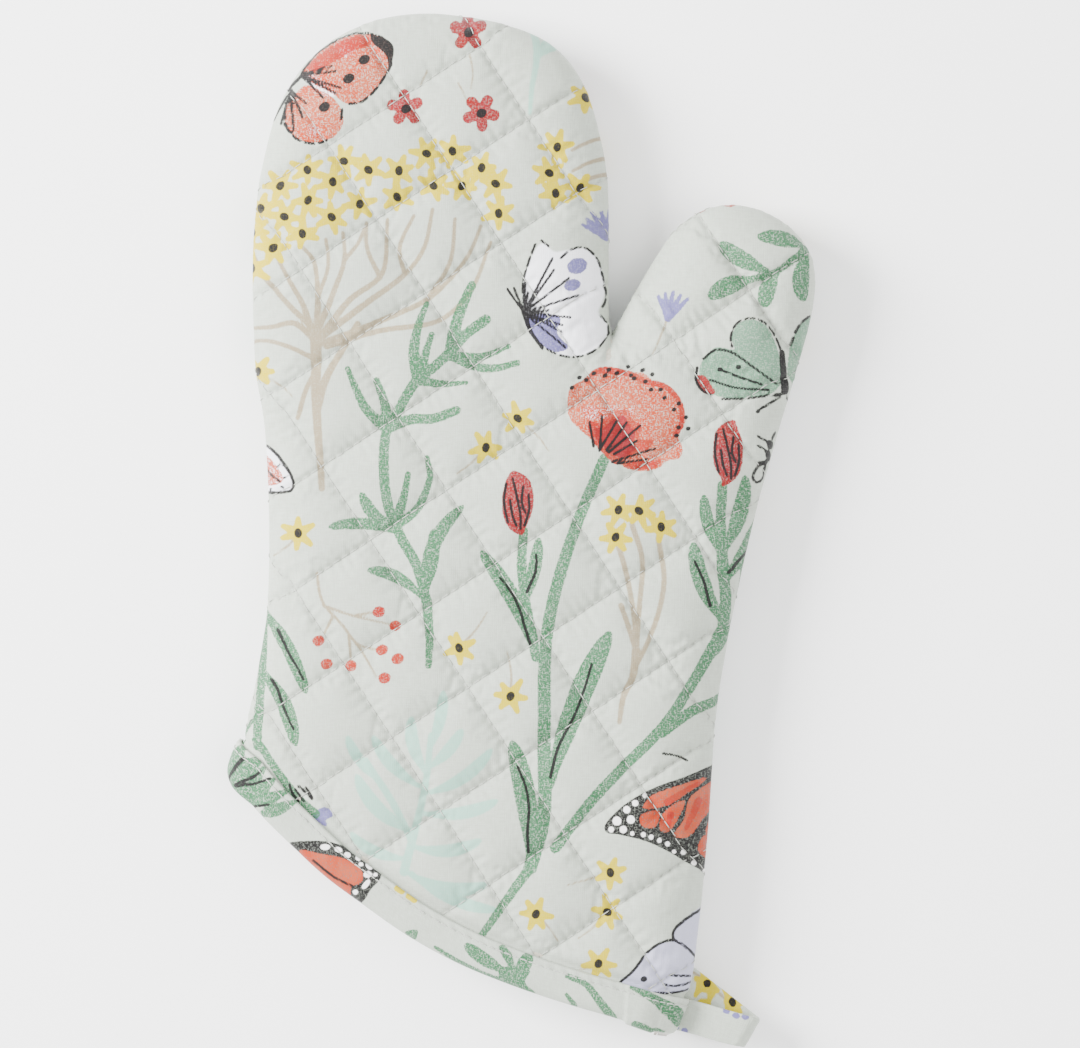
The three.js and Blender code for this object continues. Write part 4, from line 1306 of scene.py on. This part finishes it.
def tone(rgb, vivid=1.0, bright=1.0):
    """A colour mixed more vivid and less bright, to come out near rgb under this light.

    Blender's view transform takes away colour from what is bright.
    """
    raw = np.array(linear(*rgb))
    grey = float(raw @ [0.2126, 0.7152, 0.0722])
    return tuple(float(v) for v in ((grey + (raw - grey) * vivid) * bright / LIGHT).clip(0.002, 0.98))


# each ink as it looks, how vivid it is mixed, and how bright
COLORS = {"mint": ((203, 228, 217), 2.1, 0.84), "tan": ((208, 198, 180), 1.9, 0.61),
          "mist": ((222, 222, 238), 1.8, 0.86), "pale": ((243, 243, 248), 1.2, 1.4),
          "lilac": ((172, 168, 216), 1.9, 0.46), "sage": ((166, 200, 176), 1.6, 0.56),
          "green": ((114, 172, 130), 1.45, 0.41),
          "poppy": ((240, 124, 90), 1.75, 0.47), "flame": ((240, 90, 42), 1.45, 0.40),
          "yellow": ((250, 236, 58), 2.1, 0.66),
          "red": ((214, 30, 66), 1.45, 0.34), "black": ((46, 40, 42), 1.0, 0.15),
          "dark": ((46, 40, 42), 1.0, 0.15),
          "white": ((248, 246, 244), 1.0, 1.5)}
# how much cloth shows through each ink, how soft its edge is, and how much of it is washed lighter
FLECKS = {"mint": 0.2, "tan": 0.25, "mist": 0.1, "pale": 0.0, "lilac": 0.15, "sage": 0.5, "green": 0.6,
          "poppy": 0.7, "flame": 0.3, "yellow": 0.1, "red": 0.25,
          "black": 0.06, "dark": 0.25, "white": 0.1}
SOFT_EDGE = {"mint": 0.35, "mist": 0.4, "pale": 0.5, "tan": 0.25}
WASH = {"poppy": 0.5, "flame": 0.35, "green": 0.25, "red": 0.2}
ROUGH_EDGED = ("green", "poppy", "flame", "red", "sage", "lilac")


class Graph:
    """A short way of writing a material's nodes."""

    def __init__(self, name):
        self.material = bpy.data.materials.new(name)
        self.material.use_nodes = True
        self.tree = self.material.node_tree
        self.shader = self.tree.nodes["Principled BSDF"]

    def node(self, kind, inputs=(), out=0, **settings):
        node = self.tree.nodes.new("ShaderNode" + kind)
        for key, value in settings.items():
            setattr(node, key, value)
        for key, value in dict(inputs).items():
            self.put(node.inputs[key], value)
        return node.outputs[out]

    def put(self, socket, value):
        if isinstance(value, bpy.types.NodeSocket):
            self.tree.links.new(value, socket)
        elif isinstance(value, tuple) and len(value) == 3 and len(socket.default_value) == 4:
            socket.default_value = (*value, 1)
        else:
            socket.default_value = value

    def math(self, what, a, b=0.0, c=0.0):
        return self.node("Math", {0: a, 1: b, 2: c}, operation=what)

    def attribute(self, name, out=2):
        return self.node("Attribute", (), out, attribute_name=name)

    def scaled(self, vector, size):
        return self.node("Mapping", {0: vector, "Scale": Vector(size)})

    def noise(self, vector, scale, detail=2.0, rough=0.5):
        return self.node("TexNoise", {"Vector": vector, "Scale": scale, "Detail": detail,
                                      "Roughness": rough})

    def sum(self, a, b):
        return self.math("ADD", a, b)

    def times(self, a, b):
        return self.math("MULTIPLY", a, b)

    def ridges(self, vector, distortion, direction):
        settings = {"Vector": vector, "Scale": 0.5, "Distortion": distortion, "Detail": 1.0}
        return self.node("TexWave", settings, 1, bands_direction=direction)

    def ramp(self, value, lo, hi, a=0.0, b=1.0):
        return self.node("MapRange", {0: value, 1: lo, 2: hi, 3: a, 4: b},
                         interpolation_type="SMOOTHSTEP")

    def mix(self, factor, a, b):
        return self.node("Mix", {0: factor, 6: a, 7: b}, 2, data_type="RGBA")

    def bump(self, height, strength, distance):
        return self.node("Bump", {"Height": height, "Strength": strength, "Distance": distance})


def weave(graph, cloth):
    """Height and flecks of a plain weave: fine uneven threads both ways."""
    warp = graph.noise(graph.scaled(cloth, (2.3, 0.28, 1)), 1.0, 2.0, 0.6)
    weft = graph.noise(graph.scaled(cloth, (0.28, 2.3, 1)), 1.0, 2.0, 0.6)
    ribs = graph.ridges(cloth, 0.6, "X")
    rows = graph.ridges(cloth, 0.6, "Y")
    height = graph.sum(graph.times(ribs, 0.25), graph.times(rows, 0.25))
    return warp, weft, graph.sum(height, graph.sum(warp, weft))


def inked(g, color, cloth):
    """The cloth's colour with the printed pattern over it, and painted shade in the needle holes."""
    wobble = g.times(g.math("SUBTRACT", g.noise(cloth, 0.9, 3.0, 0.7), 0.5), 0.9)
    lengthwise = g.noise(g.scaled(cloth, (2.6, 0.9, 1)), 1.0, 1.0)
    crosswise = g.noise(g.scaled(cloth, (0.9, 2.6, 1)), 1.3, 1.0)
    fleck = g.ramp(g.math("MAXIMUM", lengthwise, crosswise), 0.52, 0.72)
    wash = g.ramp(g.noise(cloth, 0.11, 2.0), 0.3, 0.7)
    for ink in INKS:
        rgb, vivid, bright = COLORS[ink]
        rich = tone(rgb, vivid, bright)
        light = tone([c + 0.4 * (WHITE - c) for c in rgb], vivid, bright * 1.15)
        soft = SOFT_EDGE.get(ink, 0.16)
        edge = wobble if ink in ROUGH_EDGED else g.times(wobble, 0.5)
        inside = g.ramp(g.sum(g.attribute("ink_" + ink), edge), -soft, soft)
        thin = g.math("SUBTRACT", 1.0, g.times(fleck, FLECKS[ink]))
        body = g.mix(g.times(wash, WASH.get(ink, 0.15)), rich, light)
        color = g.mix(g.times(inside, thin), color, body)
    # painted shade: the cloth is mixed up to halfway towards grey in the needle holes
    return g.mix(g.times(g.attribute("hole"), 0.5), color, tone((112, 110, 104), 1.0, 0.7))


def cloth_look(name, ground, shade, printed):
    """Plain-woven cotton, with the print on it or without."""
    g = Graph(name)
    cloth = g.attribute("cloth", 1)
    warp, weft, height = weave(g, cloth)
    spots = g.noise(cloth, 0.05, 3.0)
    color = g.mix(g.ramp(g.sum(warp, weft), 0.75, 1.25), shade, ground)
    color = g.mix(g.ramp(spots, 0.35, 0.7, 0.0, 0.22), color, shade)
    if printed:
        color = inked(g, color, cloth)
    g.put(g.shader.inputs["Base Color"], color)
    g.shader.inputs["Roughness"].default_value = 0.9
    g.shader.inputs["Specular IOR Level"].default_value = 0.25
    g.shader.inputs["Sheen Weight"].default_value = 0.12
    g.shader.inputs["Sheen Roughness"].default_value = 0.5
    g.put(g.shader.inputs["Normal"], g.bump(height, 0.35, 0.0002))
    return g.material


def fluff_look(name, ground, shade):
    """Cotton wadding: matted fibres."""
    g = Graph(name)
    place = g.node("TexCoord", (), 3)
    long = g.noise(g.scaled(place, (900, 900, 900)), 1.0, 5.0, 0.7)
    tufts = g.noise(g.scaled(place, (160, 160, 160)), 1.0, 3.0)
    g.put(g.shader.inputs["Base Color"], g.mix(g.ramp(g.times(long, tufts), 0.12, 0.42), shade, ground))
    g.shader.inputs["Roughness"].default_value = 1.0
    g.shader.inputs["Sheen Weight"].default_value = 0.3
    g.put(g.shader.inputs["Normal"], g.bump(g.sum(long, tufts), 0.6, 0.0006))
    return g.material


def thread_look(name, ground, shade):
    """Twisted sewing thread, with painted shade in the grooves of its twist."""
    g = Graph(name)
    along = g.attribute("strand", 1)
    twist = g.ridges(along, 0.5, "DIAGONAL")
    fuzz = g.noise(along, 2.0, 2.0)
    # painted shade: the twist's grooves take the darker colour; the fuzz adds uneven fibre tone
    g.put(g.shader.inputs["Base Color"], g.mix(g.times(twist, g.ramp(fuzz, 0.2, 0.7)), shade, ground))
    g.shader.inputs["Roughness"].default_value = 0.7
    g.shader.inputs["Sheen Weight"].default_value = 0.1
    g.put(g.shader.inputs["Normal"], g.bump(twist, 0.5, 0.0001))
    return g.material


GROUND, SHADE = tone((221, 226, 218), 1.8, 1.0), tone((212, 216, 208), 1.8, 0.96)
cloth_mat = cloth_look("printed_cotton", GROUND, SHADE, True)
lining_mat = cloth_look("lining_cotton", tone((226, 222, 208), 1.2, 0.95),
                        tone((208, 203, 188), 1.2, 0.95), False)
wadding_mat = fluff_look("cotton_wadding", tone((236, 233, 224), 1.1, 1.0),
                         tone((214, 210, 198), 1.1, 0.95))
# the thread's colour, and the darker one for the painted shade in its twist's grooves and its uneven fibres
thread_mat = thread_look("sewing_thread", tone((230, 232, 225), 1.4, 0.95),
                         tone((216, 218, 211), 1.4, 0.9))


# ---------------------------------------------------------------- building every piece
PART_NAMES = {"shell": "cover", "wadding": "fill", "lining": "inside"}
PART_LOOKS = {"shell": (cloth_mat, lining_mat), "wadding": (wadding_mat, wadding_mat),
              "lining": (lining_mat, lining_mat)}
CAD_ZONES = {"hand": ("hand", "fingers"), "thumb": ("thumb",)}
CUT_MARGIN, LINING_MARGIN = 13.0, 2.0         # cloth that turns under at the seams


def cut_size(loop, margin):
    """Width, length and area of the flat piece of cloth, in metres and square metres."""
    x, y = loop.T
    inside = abs(np.dot(x, np.roll(y, -1)) - np.dot(y, np.roll(x, -1))) / 2
    edge = np.linalg.norm(np.diff(loop, axis=0), axis=1).sum()
    size = (np.ptp(loop, axis=0) + margin) / 1000
    area = min(inside + edge * margin / 2, 0.99 * 1e6 * size[0] * size[1]) / 1e6
    return tuple(float(v) for v in size), float(area)


BACK_SHIFT = (6.0, -9.0)


def place_on_back(xy):
    """Where a point of the back panel lies on the printed cloth."""
    return np.column_stack([BACK_SHIFT[0] - xy[:, 0], xy[:, 1] + BACK_SHIFT[1]])


fine, medium, coarse = outlines(OUTLINE_STEP), outlines(1.0), outlines(2.6)


def make_layer(side, zone, layer, field):
    """One layer of a panel, with its looks and its print; the size of its cut cloth is worked out and not
    kept.
    """
    tail = "" if zone == "hand" else "_thumb"
    loops, steps = (fine, FINE) if side == "front" else (medium, BACK)
    name = f"{side}_{PART_NAMES[layer]}{tail}"
    obj, xy, shift = layer_piece(name, side, zone, layer, field, loops, coarse, steps)
    for look in PART_LOOKS[layer]:
        obj.data.materials.append(look)
    hidden = len(obj.data.vertices) - shift
    if layer == "shell":
        print_on(obj, front_art, xy if side == "front" else place_on_back(xy), hidden)
        # the needle holes' painted shade, for the printed cloth's material
        store(obj, "hole", np.concatenate([needle_hole_shade(xy), np.zeros(hidden)]))
    elif layer == "lining":
        flat = np.vstack([xy, coarse_points(zone, coarse)])
        store(obj, "cloth", np.column_stack([flat, np.zeros(len(flat))]), "FLOAT_VECTOR")
    bind(obj, zone)
    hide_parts(*[f"{side}_{layer}_{part}" for part in CAD_ZONES[zone]])
    if layer == "wadding":
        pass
    else:
        flat, size = cut_size(fine[zone], CUT_MARGIN if layer == "shell" else LINING_MARGIN)
    return obj


def make_stitches(side, zone, field):
    """The quilting thread of one panel."""
    name = f"{side}_stitching" + ("" if zone == "hand" else "_thumb")
    spots = quilt_stitches(side, fine[zone], field)
    stitches = capsules(name, *spots, STITCH_LENGTH, STITCH_R)
    stitches.data.materials.append(thread_mat)
    bind(stitches, zone)
    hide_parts(*[f"{side}_quilting_{part}" for part in CAD_ZONES[zone]])


for side in ("front", "back"):
    fields = {zone: puff_field(side, fine[zone]) for zone in ("hand", "thumb")}
    for zone, field in fields.items():
        below = None
        for layer in ("lining", "wadding", "shell"):
            below = make_layer(side, zone, layer, field)
        make_stitches(side, zone, field)

SEAM_PITCH, SEAM_LENGTH, SEAM_R = 2.8, 2.5, 0.2
# points of the side's line between the seam's thread and the cuff
SEAM_END = 12


def make_side_seam(name, runs, zone, nodes):
    """The thread along the side, hidden between the two panels."""
    parts = []
    for run in runs:
        inset = run + edge_normals(run) * SEAM_INSET
        path = np.column_stack([inset, np.full(len(run), SEAM_Z)])
        parts.append(row_stitches(path, np.tile([0.0, 0, 1], (len(run), 1)), SEAM_PITCH))
    stitches = capsules(name, *[np.vstack(p) for p in zip(*parts)], SEAM_LENGTH, SEAM_R, 0.0)
    stitches.data.materials.append(thread_mat)
    bind(stitches, zone)
    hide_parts(*[f"side_seam_{node}" for node in nodes])


half = len(right_side) // 2
left_start = cross_at(left_side, CUFF_LINE) + SEAM_END
right_end = cross_at(right_side[half:], CUFF_LINE) + half - SEAM_END
thumb_end = int(((right_side @ FOLD_N) > FOLD_C).nonzero()[0].max())
hand_runs = (left_side[left_start:-4], right_side[thumb_end + 2:right_end])
make_side_seam("side_stitching", hand_runs, "hand", ("left", "right", "crotch", "fingers"))
make_side_seam("side_stitching_thumb", (right_side[6:thumb_end + 1],), "thumb", ("thumb",))

binding, topstitch = make_binding()
strap = make_loop()
for obj, look in ((binding, cloth_mat), (topstitch, thread_mat), (strap, cloth_mat)):
    obj.data.materials.append(look)
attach(binding, "hand")
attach(topstitch, "hand")
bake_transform(strap)
for obj, node, kind in ((binding, "cuff_binding", "printed_cotton"),
                        (topstitch, "binding_topstitch", "thread"),
                        (strap, "hanging_loop", "printed_cotton")):
    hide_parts(node)

# ---------------------------------------------------------------- floor, light, camera
world = bpy.data.worlds.new("studio")
bpy.context.scene.world = world
world.use_nodes = True
sky = world.node_tree.nodes["Background"]
sky.inputs["Color"].default_value = (1, 1, 1, 1)
sky.inputs["Strength"].default_value = 1.15 * LIGHT
bpy.ops.mesh.primitive_plane_add(size=6)
floor = bpy.context.object
floor.name = "floor"
paper = bpy.data.materials.new("paper")
paper.use_nodes = True
paper_shader = paper.node_tree.nodes["Principled BSDF"]
paper_shader.inputs["Base Color"].default_value = (0.93, 0.93, 0.93, 1)
paper_shader.inputs["Roughness"].default_value = 0.9
floor.data.materials.append(paper)


def area_light(name, place, size, power):
    """A square lamp turned to the origin."""
    lamp = bpy.data.lights.new(name, "AREA")
    lamp.shape, lamp.size, lamp.energy = "SQUARE", size, power
    obj = bpy.data.objects.new(name, lamp)
    obj.location = place
    obj.rotation_euler = Vector(place).to_track_quat("Z", "Y").to_euler()
    bpy.context.scene.collection.objects.link(obj)


area_light("key", (-1.25, 0.4, 0.85), 0.8, 62 * LIGHT)
area_light("fill", (1.0, -0.3, 1.5), 1.2, 13 * LIGHT)

lens = bpy.data.cameras.new("camera")
lens.lens, lens.sensor_width = 172.0, 36.0
lens.clip_start, lens.clip_end = 0.05, 20
camera = bpy.data.objects.new("camera", lens)
camera.location = (0.00553, 0.0005, 1.618)
bpy.context.scene.collection.objects.link(camera)
bpy.context.scene.camera = camera
